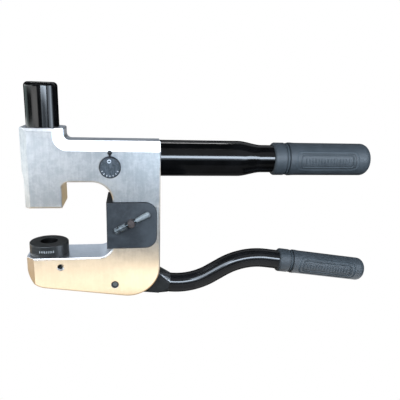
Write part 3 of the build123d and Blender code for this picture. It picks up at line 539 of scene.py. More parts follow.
# %% [markdown]
# Five area lamps finish the light. Unlike a card, an area lamp hides nothing from the pieces that it does
# not reach, so it serves where a card would be in the way. One low at the side reaches the cylinder and
# the die, one behind lifts the matte pieces as seen from there, one overhead draws the jaw's upper edge,
# one far to the right draws the short line on the knuckle, and one on the floor lightens the lever's
# underside.

# %% Area lamps
def area_lamp(name, lit, place, turn, width, height, light):
    """A lamp that glows on a group of pieces and hides nothing from the others."""
    lamp = bpy.data.lights.new(name, "AREA")
    lamp.shape = "RECTANGLE"
    lamp.size = width
    lamp.size_y = height
    brightest = max(light)
    lamp.color = [part / brightest for part in light]
    lamp.energy = brightest * math.pi * width * height
    holder = bpy.data.objects.new(name, lamp)
    holder.location = place
    holder.rotation_euler = turn
    holder.visible_camera = False
    holder.light_linking.receiver_collection = lit
    bpy.context.scene.collection.objects.link(holder)
    return holder


quarter = math.pi / 2
area_lamp("low_side_lamp", lit_rounds, place=(side_x, -0.295, -0.36), turn=(0.0, quarter, 0.0),
          width=0.48, height=0.41, light=tint(cool, 9.0))
back_fill = area_lamp("back_fill", lit_matte, place=(0.2, 1.3, 0.5), turn=(-quarter, 0.0, 0.0),
                      width=1.5, height=0.8, light=tint(neutral, 6.0))
back_fill.visible_glossy = False
area_lamp("jaw_edge_lamp", lit_jaw, place=(-0.08, -0.42, 1.1), turn=(0.0, 0.0, 0.0),
          width=0.5, height=0.35, light=tint(neutral, 7.0))
knuckle_lamp = area_lamp("knuckle_lamp", lit_knuckle, place=(1.2, -0.6, 0.25), turn=(quarter, 0.0, quarter),
                         width=0.8, height=0.6, light=tint(cool, 120.0))
knuckle_lamp.visible_diffuse = False
lever_bounce_place = (0.25, -0.19, floor_height + 3.0 * mm)
lever_bounce = area_lamp("lever_bounce", lit_lever, place=lever_bounce_place, turn=(math.pi, 0.0, 0.0),
                         width=1.6, height=0.36, light=tint(neutral, 0.42))
lever_bounce.visible_diffuse = False
print("lamps:", [lamp.name for lamp in bpy.data.lights])

# %% [markdown]
# Finishes share a few helpers. Object coordinates are the packed model's own metres, so a blotch that is
# twelve millimetres wide is written as twelve millimetres. The bevel node rounds the shading of sharp edges
# by a fraction of a millimetre, as tumbling, paint or moulding does on the real piece.

# %% Helpers for finishes
def grain(place, size, detail=2.0, crispness=0.55):
    """Noise from 0 to 1 with blotches of about this size. Crisper noise has more fine patches in it."""
    sockets = {"Vector": place, "Scale": 1.0 / size, "Detail": detail, "Roughness": crispness}
    return place.node("ShaderNodeTexNoise", (), sockets)


def rough_surface(height, depth, edge):
    """The shading normal of a surface with rounded edges and small bumps of this depth."""
    rounded = height.node("ShaderNodeBevel", {"samples": 6}, {"Radius": edge})
    return height.node("ShaderNodeBump", (), {"Distance": depth, "Height": height, "Normal": rounded})


def openness(start, reach):
    """1 on open ground and less in a groove or a corner that is narrower than the reach."""
    settings = {"samples": 8, "only_local": True}
    return start.node("ShaderNodeAmbientOcclusion", settings, {"Distance": reach}, "AO")


def distance(first, second):
    """How far a place is from a middle, from its two distances along square directions."""
    return first.maths("SQRT", first * first + second * second)


def close_finish(finish, start, sockets):
    """Ends a finish in a Principled shader with these socket values and links."""
    surface = start.node("ShaderNodeBsdfPrincipled", (), sockets)
    start.node("ShaderNodeOutputMaterial", (), {"Surface": surface})
    print("finish:", finish.name)
    return finish


finishes = {}
print("finishes to make:", sorted({row["material_slot"] for row in record_rows}))

# %% [markdown]
# The frame is a light alloy that was machined and then vapour blasted to a satin sheen. Up close it is
# cloudy: patches a centimetre or two wide are a little brighter or duller. Metal takes its colour from the
# reflection, so the clouds go into both the tint and the roughness, and a very fine grain goes into the
# bump. Faint upright streaks run through the clouds. Low on the jaw the clouds fade to an even tone, which
# is painted to stand for the bright warm light that washes them out there.

# %% Satin alloy
finish, start, place = new_surface("satin_alloy")
clouds = grain(place, 13 * mm, detail=8.0, crispness=0.68)
smears = grain(place, 45 * mm, detail=3.0)
sand = grain(place, 0.5 * mm)
speckle = grain(place, 3.0 * mm, detail=4.0, crispness=0.65)
drawn_out = start.node("ShaderNodeMapping", (), {"Vector": place, "Scale": (1.0, 1.0, 0.1)})
streaks = grain(drawn_out, 2.6 * mm, detail=3.0, crispness=0.6)
blotches = (0.42 * clouds + 0.18 * smears + 0.2 * speckle + 0.2 * streaks).rise(0.40, 0.60)
# Painted light: below the jaw's top the clouds fade to an even tone, as if washed out by bright light.
washed_by_light = 0.65 * (1 - place.along("Z").rise(-30 * mm, 5 * mm))
tone = blotches + washed_by_light * (0.55 - blotches)
finishes["frame_metal"] = close_finish(finish, start, {
    "Base Color": tone.mix((0.405, 0.445, 0.500), (0.555, 0.590, 0.640)),
    "Metallic": 1.0,
    "Roughness": 0.27 + 0.1 * clouds,
    "Normal": rough_surface(sand, depth=0.012 * mm, edge=1.0 * mm),
})

# %% [markdown]
# The cylinder, both handle tubes and the knuckle are stove-enamelled gloss black. Enamel levels out to a
# mirror, with a faint orange-peel ripple a couple of millimetres across, and handling leaves slightly dull
# patches. The lever is a shade greyer than the rest, and the forged knuckle is duller.

# %% Black enamel
def enamel_finish(name, low, high, dullness):
    """Black enamel between two tones. Dullness is its least roughness."""
    finish, start, place = new_surface(name)
    peel = grain(place, 2.2 * mm, detail=1.0)
    handled = grain(place, 30 * mm, detail=3.0)
    specks = grain(place, 1.1 * mm, detail=1.0).rise(0.70, 0.78)
    return close_finish(finish, start, {
        "Base Color": (handled.rise(0.3, 0.8) + 0.5 * specks).mix(low, high),
        "Roughness": dullness + 0.07 * handled,
        "Specular IOR Level": 0.5,
        "Normal": start.node("ShaderNodeBump", (), {"Distance": 0.0003 * mm, "Height": peel}),
    })


finishes["black_paint"] = enamel_finish(
    "black_enamel", low=(0.002, 0.002, 0.002), high=(0.005, 0.005, 0.0055), dullness=0.07)
lever_enamel = enamel_finish(
    "lever_enamel", low=(0.006, 0.006, 0.0062), high=(0.010, 0.010, 0.011), dullness=0.07)
knuckle_enamel = enamel_finish(
    "knuckle_enamel", low=(0.026, 0.026, 0.025), high=(0.034, 0.034, 0.033), dullness=0.10)

# %% [markdown]
# The grips are moulded blue-grey rubber. It is matte with a fine pebble from the mould, and its grooves are
# darkened with painted shade. The raised panels are a little paler: partly rubbed wear, partly a painted
# sheen.

# %% Grip rubber
def rubber_finish(name, low, high):
    """Moulded rubber between two tones, with painted shade darkening its grooves."""
    finish, start, place = new_surface(name)
    pebble_sockets = {"Vector": place, "Scale": 1.0 / (0.9 * mm)}
    pebble = start.node("ShaderNodeTexVoronoi", {"feature": "F1"}, pebble_sockets)
    rubbed = grain(place, 18 * mm, detail=4.0)
    dust = grain(place, 1.5 * mm, detail=3.0)
    tone = (0.7 * rubbed + 0.3 * dust).rise(0.3, 0.7).mix(low, high)
    # Painted shade: the base colour goes near black in grooves and corners that the ambient occlusion finds.
    return close_finish(finish, start, {
        "Base Color": openness(start, 3.0 * mm).rise(0.35, 0.95).mix((0.008, 0.009, 0.010), tone),
        "Roughness": 0.50 + 0.14 * rubbed,
        "Normal": rough_surface(pebble, depth=0.03 * mm, edge=0.12 * mm),
    })


finishes["grip_rubber"] = rubber_finish(
    "moulded_rubber", low=(0.025, 0.031, 0.036), high=(0.037, 0.044, 0.050))
# The raised lines, bars and beads take a paler rubber: partly rubbed wear, partly a painted sheen where they
# catch light.
rubbed_and_sheen_rubber = rubber_finish("rubbed_and_sheen_rubber", low=(0.041, 0.052, 0.060), high=(0.057, 0.070, 0.079))

# %% [markdown]
# The die, punch and rings are hardened steel with a black oxide skin. They were turned on a lathe, so fine
# rings run round the punch axis: on a flat face they depend on the distance from the axis and on a side on
# the height. Inside the die's hole the colour is painted near black as shade.

# %% Black oxide steel
finish, start, place = new_surface("turned_black_oxide")
from_axis = distance(place.along("X"), place.along("Y"))
ring_pitch = 0.35 * mm
rings = start.maths("SINE", (from_axis + place.along("Z")) * (math.tau / ring_pitch))
stain = grain(place, 9 * mm, detail=4.0)
oxide = stain.rise(0.3, 0.7).mix((0.029, 0.030, 0.030), (0.045, 0.046, 0.046))
# Painted shade: within 11.3 mm of the punch axis, inside the die's hole, the colour goes near black.
finishes["dark_steel"] = close_finish(finish, start, {
    "Base Color": from_axis.rise(11.3 * mm, 11.7 * mm).mix((0.004, 0.004, 0.004), oxide),
    "Roughness": 0.27 + 0.14 * stain,
    "Specular IOR Level": 0.5,
    "Normal": rough_surface(rings, depth=0.004 * mm, edge=0.5 * mm),
})

# %% [markdown]
# Pins, screws, the ram and the clamp's bar are ground steel: bright, with fine scratches. The nut on the
# bar has gone dull and the screw's head is browned, so one function takes the two tones. The bushes are
# bronze, and the seals are plain moulded rubber that shows only in the gaps between bodies.

# %% Ground steel, bronze and seals
def steel_finish(name, low, high, bareness=1.0):
    """Bright, dulled or browned steel between two tones, with scratches. Bareness is its metallic share."""
    finish, start, place = new_surface(name)
    stretched = start.node("ShaderNodeMapping", (), {"Vector": place, "Scale": (1.0, 1.0, 14.0)})
    scratches = grain(stretched, 3 * mm, detail=4.0)
    tarnish = grain(place, 7 * mm, detail=3.0)
    return close_finish(finish, start, {
        "Base Color": tarnish.rise(0.3, 0.7).mix(low, high),
        "Metallic": bareness,
        "Roughness": 0.24 + 0.16 * scratches,
        "Normal": rough_surface(scratches, depth=0.006 * mm, edge=0.25 * mm),
    })


finishes["steel"] = steel_finish("ground_steel", low=(0.33, 0.34, 0.35), high=(0.48, 0.49, 0.50))
dulled_steel = steel_finish("dulled_steel", low=(0.085, 0.105, 0.115), high=(0.19, 0.22, 0.235))
nut_steel = steel_finish("nut_steel", low=(0.060, 0.068, 0.072), high=(0.130, 0.145, 0.152), bareness=0.45)
stud_steel = steel_finish("stud_steel", low=(0.72, 0.75, 0.80), high=(0.88, 0.90, 0.94))
browned_steel = steel_finish(
    "browned_steel", low=(0.050, 0.040, 0.038), high=(0.125, 0.100, 0.095), bareness=0.25)

finish, start, place = new_surface("bearing_bronze")
tarnish = grain(place, 5 * mm, detail=3.0)
finishes["bronze"] = close_finish(finish, start, {
    "Base Color": tarnish.rise(0.3, 0.7).mix((0.34, 0.22, 0.09), (0.52, 0.36, 0.16)),
    "Metallic": 1.0,
    "Roughness": 0.3 + 0.15 * tarnish,
    "Normal": rough_surface(tarnish, depth=0.004 * mm, edge=0.25 * mm),
})

finish, start, place = new_surface("seal_rubber")
bloom = grain(place, 3 * mm, detail=3.0)
finishes["seal"] = close_finish(finish, start, {
    "Base Color": bloom.rise(0.3, 0.7).mix((0.014, 0.014, 0.015), (0.030, 0.030, 0.031)),
    "Roughness": 0.55 + 0.2 * bloom,
    "Normal": rough_surface(bloom, depth=0.01 * mm, edge=0.2 * mm),
})

# %% [markdown]
# The guide has a dark slate coat with the fine dimpled skin of powder paint. It is close to matte, its
# colour drifts a little where sheets rub it and grows paler towards its right end, and its top and tight
# corners are painted near black as shade. The height, the distance along the tool and an ambient occlusion
# reach mask these places, so no second material is needed.

# %% Slate coat
shade_black = (0.004, 0.004, 0.0045)
finish, start, place = new_surface("slate_coat")
skin = grain(place, 0.8 * mm)
rubbed = grain(place, 9 * mm, detail=6.0, crispness=0.65)
height = place.along("Z")
paler_right_end = 0.35 * place.along("X").rise(108 * mm, 142 * mm)
coat = (rubbed + paler_right_end).rise(0.3, 0.9).mix((0.020, 0.023, 0.027), (0.048, 0.055, 0.062))
# Painted shade: the top face and the tight corners go near black.
shaded_top = height.rise(58.7 * mm, 59.0 * mm) * (1 - height.rise(70 * mm, 80 * mm))
painted_shade = 1 - (1 - shaded_top) * openness(start, 1.5 * mm).rise(0.3, 0.9)
finishes["slate"] = close_finish(finish, start, {
    "Base Color": painted_shade.mix(coat, shade_black),
    "Roughness": 0.42 + 0.15 * rubbed + 0.3 * shaded_top,
    "Normal": rough_surface(skin, depth=0.02 * mm, edge=0.4 * mm),
})

# %% [markdown]
# The release knob has the same kind of coat, but fingers have scuffed it and scraped it at a slant, and its
# edge is painted near black as shade. Noise that is turned and drawn out gives the scrapes. The bar's handle
# is grey plastic, and the thick paint of the marks is made in the same way, only paler.

# %% Scuffed knob and grey handle
knob_x = 82.8 * mm
knob_z = 105.1 * mm
scrape_slant = math.radians(40.0)
finish, start, place = new_surface("knob_coat")
from_middle = distance(place.along("X") - knob_x, place.along("Z") - knob_z)
scuffs = grain(place, 4.5 * mm, detail=5.0, crispness=0.7)
slanted = start.node("ShaderNodeMapping", (), {
    "Vector": place, "Rotation": (0.0, scrape_slant, 0.0), "Scale": (1.0, 1.0, 0.15)})
scrapes = grain(slanted, 1.6 * mm, detail=3.0, crispness=0.6)
worn = (0.55 * scuffs + 0.45 * scrapes).rise(0.40, 0.62)
coat = worn.mix((0.012, 0.017, 0.022), (0.066, 0.082, 0.098))
# Painted shade: from 11.6 mm out from the knob's middle, its edge goes near black.
knob_coat = close_finish(finish, start, {
    "Base Color": from_middle.rise(11.6 * mm, 12.4 * mm).mix(coat, (0.008, 0.010, 0.013)),
    "Roughness": 0.36 + 0.2 * scuffs,
    "Normal": rough_surface(scrapes, depth=0.02 * mm, edge=0.4 * mm),
})


def plastic_finish(name, low, high):
    """Moulded plastic or thick paint between two tones."""
    finish, start, place = new_surface(name)
    skin = grain(place, 0.6 * mm)
    worn = grain(place, 5 * mm, detail=3.0)
    return close_finish(finish, start, {
        "Base Color": worn.rise(0.3, 0.7).mix(low, high),
        "Roughness": 0.32 + 0.15 * worn,
        "Normal": rough_surface(skin, depth=0.01 * mm, edge=0.4 * mm),
    })


finishes["grey_plastic"] = plastic_finish(
    "grey_handle_plastic", low=(0.17, 0.19, 0.195), high=(0.25, 0.27, 0.275))
mark_paint = plastic_finish("mark_paint", low=(0.36, 0.37, 0.37), high=(0.52, 0.53, 0.53))

# %% [markdown]
# A few small steel pieces look darker than the rest: the lock screw is painted near black, which stands for
# the shade in its countersunk hole, the knob's thumb pin is near black too, and the pivot pin has a dull
# grey middle with a dark ring round it. One finish serves them all, because its grey spot lies at the pivot
# alone.

# %% Dark pins
pivot_x = 86.0 * mm
pivot_z = -54.6 * mm
finish, start, place = new_surface("dark_pin")
from_middle = distance(place.along("X") - pivot_x, place.along("Z") - pivot_z)
smudge = grain(place, 2.5 * mm, detail=4.0)
worn = (1 - from_middle.rise(2.2 * mm, 4.4 * mm)) * (0.6 + 0.8 * smudge)
dark_pin = close_finish(finish, start, {
    "Base Color": worn.mix((0.012, 0.012, 0.012), (0.13, 0.13, 0.125)),
    "Roughness": 0.38 + 0.15 * smudge,
    "Specular IOR Level": 0.4,
    "Normal": rough_surface(smudge, depth=0.01 * mm, edge=0.3 * mm),
})

# %% [markdown]
# Each packed node names the finish that it takes, so dressing the packed model is one short loop. A few
# nodes have a finish of their own.

# %% Dress the packed nodes
# The lock screw's near black is painted shade for its deep countersunk hole.
own_finishes = {
    "lever_pivot_pin": dark_pin, "die_lock_screw": dark_pin, "knob_thumb_pin": dark_pin,
    "release_knob": knob_coat, "lever_knuckle": knuckle_enamel, "bar_end_nut": nut_steel,
    "clamp_bar": dulled_steel, "clamp_screw": browned_steel,
}
for row in record_rows:
    mesh = nodes[row["node"]].data
    mesh.materials.clear()
    mesh.materials.append(own_finishes.get(row["node"], finishes[row["material_slot"]]))
print("dressed:", len(record_rows))

# %% [markdown]
# Some details repeat or follow a path, and Geometry Nodes trees make those. A tree has named sizes, which
# are set on the modifier by each socket's identifier. The result is kept as a plain mesh at the origin, and
# the modifier is taken off before the piece is given to a body.

# %% Helpers for Geometry Nodes
sharp_angle = math.radians(40.0)


def new_tree(name, sizes):
    """An empty tree with a named input for each size, a wire to start from and wires from the inputs."""
    kinds = {float: "NodeSocketFloat", int: "NodeSocketInt", tuple: "NodeSocketVector"}
    tree = bpy.data.node_groups.new(name, "GeometryNodeTree")
    tree.interface.new_socket("Geometry", in_out="INPUT", socket_type="NodeSocketGeometry")
    tree.interface.new_socket("Geometry", in_out="OUTPUT", socket_type="NodeSocketGeometry")
    for title, value in sizes.items():
        tree.interface.new_socket(title, in_out="INPUT", socket_type=kinds[type(value)])
    inputs = tree.nodes.new("NodeGroupInput")
    return tree, Wire(tree), {socket.name: Wire(tree, socket) for socket in inputs.outputs if socket.name}


def close_tree(geometry, finish):
    """Ends a tree in real geometry with one finish, smooth but for its sharp edges."""
    plain = geometry.node("GeometryNodeRealizeInstances", (), {"Geometry": geometry})
    smooth = plain.node("GeometryNodeSetShadeSmooth", (), {"Geometry": plain})
    sharp = plain.maths("GREATER_THAN", plain.node("GeometryNodeInputMeshEdgeAngle"), sharp_angle)
    crisp = smooth.node("GeometryNodeSetShadeSmooth", {"domain": "EDGE"}, {
        "Geometry": smooth, "Selection": sharp, "Shade Smooth": False})
    dressed = crisp.node("GeometryNodeSetMaterial", (), {"Geometry": crisp, "Material": finish})
    dressed.node("NodeGroupOutput", (), {"Geometry": dressed})


def grow(name, tree, sizes, body, slot, route=()):
    """Runs a tree on a route of points. The result is a plain mesh that rides on a body, with its lights."""
    seed = bpy.data.meshes.new(name + "_seed")
    seed.from_pydata(list(route), [(place, place + 1) for place in range(len(route) - 1)], [])
    piece = bpy.data.objects.new(name, seed)
    bpy.context.scene.collection.objects.link(piece)
    modifier = piece.modifiers.new("maker", "NODES")
    modifier.node_group = tree
    for item in tree.interface.items_tree:
        if item.in_out == "INPUT" and item.name in sizes:
            modifier[item.identifier] = sizes[item.name]
    made = piece.evaluated_get(bpy.context.evaluated_depsgraph_get())
    mesh = bpy.data.meshes.new_from_object(made)
    piece.modifiers.clear()
    piece.data = mesh
    bpy.data.meshes.remove(seed)
    mesh.name = name
    lit_black.objects.link(piece)
    if slot != "black_paint" or body == "lever":
        lit_matte.objects.link(piece)
    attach(piece, body)
    print(name + ":", len(mesh.polygons), "faces on", body)
    return piece


def vector(start, x=0.0, y=0.0, z=0.0):
    """A wire to a vector whose parts are numbers or wires."""
    return start.node("ShaderNodeCombineXYZ", (), {"X": x, "Y": y, "Z": z})


def moved(geometry, place, turn=(0.0, 0.0, 0.0)):
    """Geometry that is turned about the origin and then taken to a place."""
    sockets = {"Geometry": geometry, "Translation": place, "Rotation": turn}
    return geometry.node("GeometryNodeTransform", (), sockets)


def joined(pieces):
    return pieces[0].node("GeometryNodeJoinGeometry", (), {"Geometry": pieces})


def circle(start, radius, steps):
    return start.node("GeometryNodeCurvePrimitiveCircle", (), {"Resolution": steps, "Radius": radius})


def tube_along(path, radius, sides, scale=1.0):
    """A round tube along a path, with closed ends. The scale may change along the path."""
    return path.node("GeometryNodeCurveToMesh", (), {
        "Curve": path, "Profile Curve": circle(path, radius, sides), "Scale": scale, "Fill Caps": True})


print("edges are sharp from", round(math.degrees(sharp_angle)), "degrees")

# %% [markdown]
# The pump lever is a bent tube: it leaves the knuckle, dips, rises and levels out into its grip. A bent
# tube is fully given by the corners of its route and the radius of each bend, so the tree takes the route
# as four points joined by edges, rounds the two corners and sweeps a circle along it. It stands for the
# packed tube, with finer steps, so that the long highlight runs along it without a kink.

# %% Lever tube
lever_start = Vector((160.0, 0.0, -65.5)) * mm
lever_headings = [math.radians(angle) for angle in (-8.8, 29.9, -8.5)]
lever_bends = [92.8 * mm, 98.4 * mm]
lever_run = 18.4 * mm
lever_neck = 18.1 * mm


def ahead(angle, length):
    """A step in the lever's upright plane."""
    return Vector((math.cos(angle), 0.0, math.sin(angle))) * length


turns = [abs(after - before) for before, after in zip(lever_headings, lever_headings[1:])]
reaches = [bend * math.tan(turn / 2) for bend, turn in zip(lever_bends, turns)]
first_corner = lever_start + ahead(lever_headings[0], reaches[0])
second_corner = first_corner + ahead(lever_headings[1], reaches[0] + lever_run + reaches[1])
lever_end = second_corner + ahead(lever_headings[2], reaches[1] + lever_neck)
lever_route = [lever_start, first_corner, second_corner, lever_end]

lever_sizes = {
    "Tube radius": 13.48 * mm, "Low bend": lever_bends[0], "High bend": lever_bends[1],
    "Bend steps": 40, "Sides": 72,
}
tree, start, size = new_tree("bent_tube", lever_sizes)
line = start.node("GeometryNodeMeshToCurve", (), {"Mesh": size["Geometry"]})
between_corners = 1.5
after_run = start.maths("GREATER_THAN", start.node("GeometryNodeInputIndex"), between_corners)
bend = size["Low bend"] + after_run * (size["High bend"] - size["Low bend"])
path = start.node("GeometryNodeFilletCurve", {"mode": "POLY"}, {
    "Curve": line, "Count": size["Bend steps"], "Radius": bend})
close_tree(tube_along(path, size["Tube radius"], size["Sides"]), lever_enamel)
swept_tube = grow("swept_lever_tube", tree, lever_sizes, "lever", "black_paint", lever_route)
lit_lever.objects.link(swept_tube)
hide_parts("lever_tube")
print("lever ends at", [round(value / mm, 1) for value in lever_end])

# %% [markdown]
# The cylinder is turned: a straight line along its axis with a radius that follows a rule, here a quarter
# round at the top edge. The tree takes the line as points, which lie closer in the round, reads the radius
# from each point's height and sweeps a unit circle. The packed cylinder has flat facets that would break
# the upright highlights, so this one stands for it.

# %% Cylinder
barrel_low = 96.2 * mm
barrel_high = 205.4 * mm
barrel_round = 5.2 * mm
round_start = barrel_high - barrel_round
round_steps = 14
barrel_line = [Vector((0.0, 0.0, barrel_low)), Vector((0.0, 0.0, round_start))]
for step in range(1, round_steps + 1):
    rise_share = math.sin(step / round_steps * quarter)
    barrel_line.append(Vector((0.0, 0.0, round_start + barrel_round * rise_share)))
barrel_sizes = {"Radius": 20.0 * mm, "Top": barrel_high, "Edge round": barrel_round, "Sides": 144}
tree, start, size = new_tree("rounded_cylinder", barrel_sizes)
line = start.node("GeometryNodeMeshToCurve", (), {"Mesh": size["Geometry"]})
height = start.node("GeometryNodeInputPosition").along("Z")
above = start.maths("MAXIMUM", height - size["Top"] + size["Edge round"], 0.0)
drawn_in = size["Edge round"] * size["Edge round"] - above * above
reach = size["Radius"] - size["Edge round"] + start.maths("SQRT", start.maths("MAXIMUM", drawn_in, 0.0))
close_tree(tube_along(line, 1.0, size["Sides"], reach), finishes["black_paint"])
rounded_barrel = grow("rounded_barrel", tree, barrel_sizes, "frame", "black_paint", barrel_line)
for group in (lit_rounds, lit_sides, lit_tubes):
    group.objects.link(rounded_barrel)
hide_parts("cylinder_barrel")

# %% [markdown]
# The reservoir tube is turned in the same way, on a level axis. It narrows in a smooth S before its neck,
# so the radius follows a smooth step between two distances along the tool, and the points lie evenly.

# %% Reservoir tube
tube_axis = 112.6 * mm
tube_start = 146.0 * mm
tube_end = 299.5 * mm
tube_steps = 90
tube_line = []
for step in range(tube_steps + 1):
    tube_line.append(Vector((tube_start + (tube_end - tube_start) * step / tube_steps, 0.0, tube_axis)))
tube_sizes = {
    "Wide radius": 23.8 * mm, "Neck radius": 18.6 * mm, "Narrows from": 251.0 * mm,
    "Narrows to": 285.0 * mm, "Sides": 144,
}
tree, start, size = new_tree("necked_tube", tube_sizes)
line = start.node("GeometryNodeMeshToCurve", (), {"Mesh": size["Geometry"]})
from_column = start.node("GeometryNodeInputPosition").along("X")
narrowed = from_column.rise(size["Narrows from"], size["Narrows to"])
reach = size["Wide radius"] + narrowed * (size["Neck radius"] - size["Wide radius"])
close_tree(tube_along(line, 1.0, size["Sides"], reach), finishes["black_paint"])
necked_tube = grow("necked_reservoir", tree, tube_sizes, "frame", "black_paint", tube_line)
for group in (lit_tubes, lit_handles):
    group.objects.link(necked_tube)
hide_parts("reservoir_tube")

# %% [markdown]
# Each grip has a long panel on both sides: a wide rim and a thin raised line run round it and a row of low
# bars fills it. All lie on a round surface, so the tree draws them flat and pushes each point in until it
# meets the cylinder. The outlines come first.

# %% Sizes and outlines of the grip panels
panel_sizes = {
    "Grip radius": 22.3 * mm, "Rim length": 88.5 * mm, "Rim height": 23.0 * mm, "Rim corner": 8.0 * mm,
    "Rim radius": 2.2 * mm, "Rim sink": 1.75 * mm,
    "Panel length": 75.0 * mm, "Panel height": 16.8 * mm, "Panel corner": 4.0 * mm,
    "Line radius": 0.75 * mm, "Line sink": 0.45 * mm, "Floor depth": 1.1 * mm, "Bar radius": 0.7 * mm,
    "Bar height": 8.0 * mm, "Bar pitch": 4.4 * mm, "Bar count": 15,
    "Panel middle": 74.5 * mm, "Grip start": (tube_end, 0.0, tube_axis), "Grip turn": (0.0, 0.0, 0.0),
}
outline_points = 120
corner_steps = 8
line_sides = 12
tree, start, size = new_tree("grip_panel", panel_sizes)


def push_to_cylinder(curve, radius):
    """Moves a curve from the XY plane onto the near side of a cylinder along X: flat Y becomes height."""
    place = curve.node("GeometryNodeInputPosition")
    height = place.along("Y")
    depth = height.maths("SQRT", radius * radius - height * height)
    on_side = vector(curve, x=place.along("X"), y=0 - depth, z=height)
    return curve.node("GeometryNodeSetPosition", (), {"Geometry": curve, "Position": on_side})


def raised_outline(start, part, line):
    """A raised line round a panel. Its sizes are the inputs that start with the part and the line."""
    outline = start.node("GeometryNodeCurvePrimitiveQuadrilateral", (), {
        "Width": size[part + " length"], "Height": size[part + " height"]})
    outline = start.node("GeometryNodeFilletCurve", {"mode": "POLY"}, {
        "Curve": outline, "Count": corner_steps, "Radius": size[part + " corner"]})
    outline = start.node("GeometryNodeResampleCurve", (), {"Curve": outline, "Count": outline_points})
    outline = push_to_cylinder(outline, size["Grip radius"] - size[line + " sink"])
    return tube_along(outline, size[line + " radius"], line_sides)


rim = raised_outline(start, "Rim", "Rim")
inner_line = raised_outline(start, "Panel", "Line")
print("panel:", round(panel_sizes["Panel length"] / mm, 1), "mm long")

# %% [markdown]
# One short bar is copied along a row of points to fill the panel. The near side is then turned half round
# for the far side. The tree is run once for each grip, because the grips ride on different bodies.

# %% Bars of the grip panels
bar_points = 7
bar_sides = 8
low_end = vector(start, y=size["Bar height"] * -0.5)
high_end = vector(start, y=size["Bar height"] * 0.5)
bar = start.node("GeometryNodeCurvePrimitiveLine", (), {"Start": low_end, "End": high_end})
bar = start.node("GeometryNodeResampleCurve", (), {"Curve": bar, "Count": bar_points})
bar = push_to_cylinder(bar, size["Grip radius"] - size["Floor depth"])
bar = tube_along(bar, size["Bar radius"], bar_sides)
row_start = vector(start, x=(size["Bar count"] - 1) * size["Bar pitch"] * -0.5)
bar_row = start.node("GeometryNodeMeshLine", (), {
    "Count": size["Bar count"], "Start Location": row_start, "Offset": vector(start, x=size["Bar pitch"])})
bars = start.node("GeometryNodeInstanceOnPoints", (), {"Points": bar_row, "Instance": bar})
near_side = joined([rim, inner_line, bars])
far_side = moved(near_side, (0.0, 0.0, 0.0), (math.pi, 0.0, 0.0))
on_axis = moved(joined([near_side, far_side]), vector(start, x=size["Panel middle"]))
close_tree(moved(on_axis, size["Grip start"], size["Grip turn"]), rubbed_and_sheen_rubber)
grow("upper_grip_panel", tree, panel_sizes, "frame", "grip_rubber")

lever_grip_turn = (0.0, -lever_headings[2], 0.0)
lever_panel_sizes = {
    **panel_sizes, "Grip radius": 16.8 * mm, "Rim length": 87.0 * mm, "Rim height": 20.0 * mm,
    "Rim corner": 7.0 * mm, "Panel height": 15.0 * mm, "Bar height": 6.4 * mm,
    "Grip start": tuple(lever_end), "Grip turn": lever_grip_turn,
}
grow("lever_grip_panel", tree, lever_panel_sizes, "lever", "grip_rubber")

# %% [markdown]
# A round bead lies in the groove behind each grip's collar. It is a circle of wire round the grip's axis.

# %% Groove beads
bead_steps = 96
bead_sizes = {
    "Bead circle": 20.6 * mm, "Bead radius": 1.3 * mm, "Bead place": 19.3 * mm,
    "Grip start": panel_sizes["Grip start"], "Grip turn": panel_sizes["Grip turn"],
}
tree, start, size = new_tree("groove_bead", bead_sizes)
bead = tube_along(circle(start, size["Bead circle"], bead_steps), size["Bead radius"], line_sides)
bead = moved(bead, vector(start, x=size["Bead place"]), (0.0, quarter, 0.0))
close_tree(moved(bead, size["Grip start"], size["Grip turn"]), rubbed_and_sheen_rubber)
grow("upper_groove_bead", tree, bead_sizes, "frame", "grip_rubber")

lever_bead_sizes = {
    **bead_sizes, "Bead circle": 15.1 * mm, "Grip start": tuple(lever_end), "Grip turn": lever_grip_turn,
}
grow("lever_groove_bead", tree, lever_bead_sizes, "lever", "grip_rubber")

# %% [markdown]
# The release knob carries a short scale of plain painted marks round its lower half and a small bright stud
# at its top. The marks are one low block that is turned about the knob's middle, a step of the angle for
# each. The same tree, laid on its side, puts a row of plain ticks on the front of the die.

# %% Knob marks and stud
knob_front = -36.3 * mm
mark_sizes = {
    "Mark count": 7, "Mark step": math.radians(22.0), "Mark circle": 10.4 * mm,
    "Mark size": (1.0 * mm, 0.5 * mm, 1.8 * mm), "Scale turn": (0.0, 0.0, 0.0),
    "Scale middle": (knob_x, knob_front, knob_z),
}
tree, start, size = new_tree("mark_scale", mark_sizes)
block = start.node("GeometryNodeMeshCube", (), {"Size": size["Mark size"]})
block = moved(block, vector(start, z=0 - size["Mark circle"]))


def turned_copies(shape, count, turn):
    """Copies of a shape about the origin. The turn is a wire that differs from one copy to the next."""
    points = shape.node("GeometryNodeMeshLine", (), {"Count": count, "Offset": (0.0, 0.0, 0.0)})
    return shape.node("GeometryNodeInstanceOnPoints", (), {
        "Points": points, "Instance": shape, "Rotation": turn})


order = start.node("GeometryNodeInputIndex")
angle = (order - 0.5 * (size["Mark count"] - 1)) * size["Mark step"]
marks = turned_copies(block, size["Mark count"], vector(start, y=angle))
close_tree(moved(marks, size["Scale middle"], size["Scale turn"]), mark_paint)
grow("knob_scale", tree, mark_sizes, "release", "grey_plastic")

die_mark_sizes = {
    "Mark count": 9, "Mark step": math.radians(5.0), "Mark circle": 24.9 * mm,
    "Mark size": (0.9 * mm, 2.9 * mm, 0.5 * mm), "Scale turn": (-quarter, 0.0, 0.0),
    "Scale middle": (0.0, 0.0, -7.6 * mm),
}
grow("die_scale", tree, die_mark_sizes, "frame", "grey_plastic")

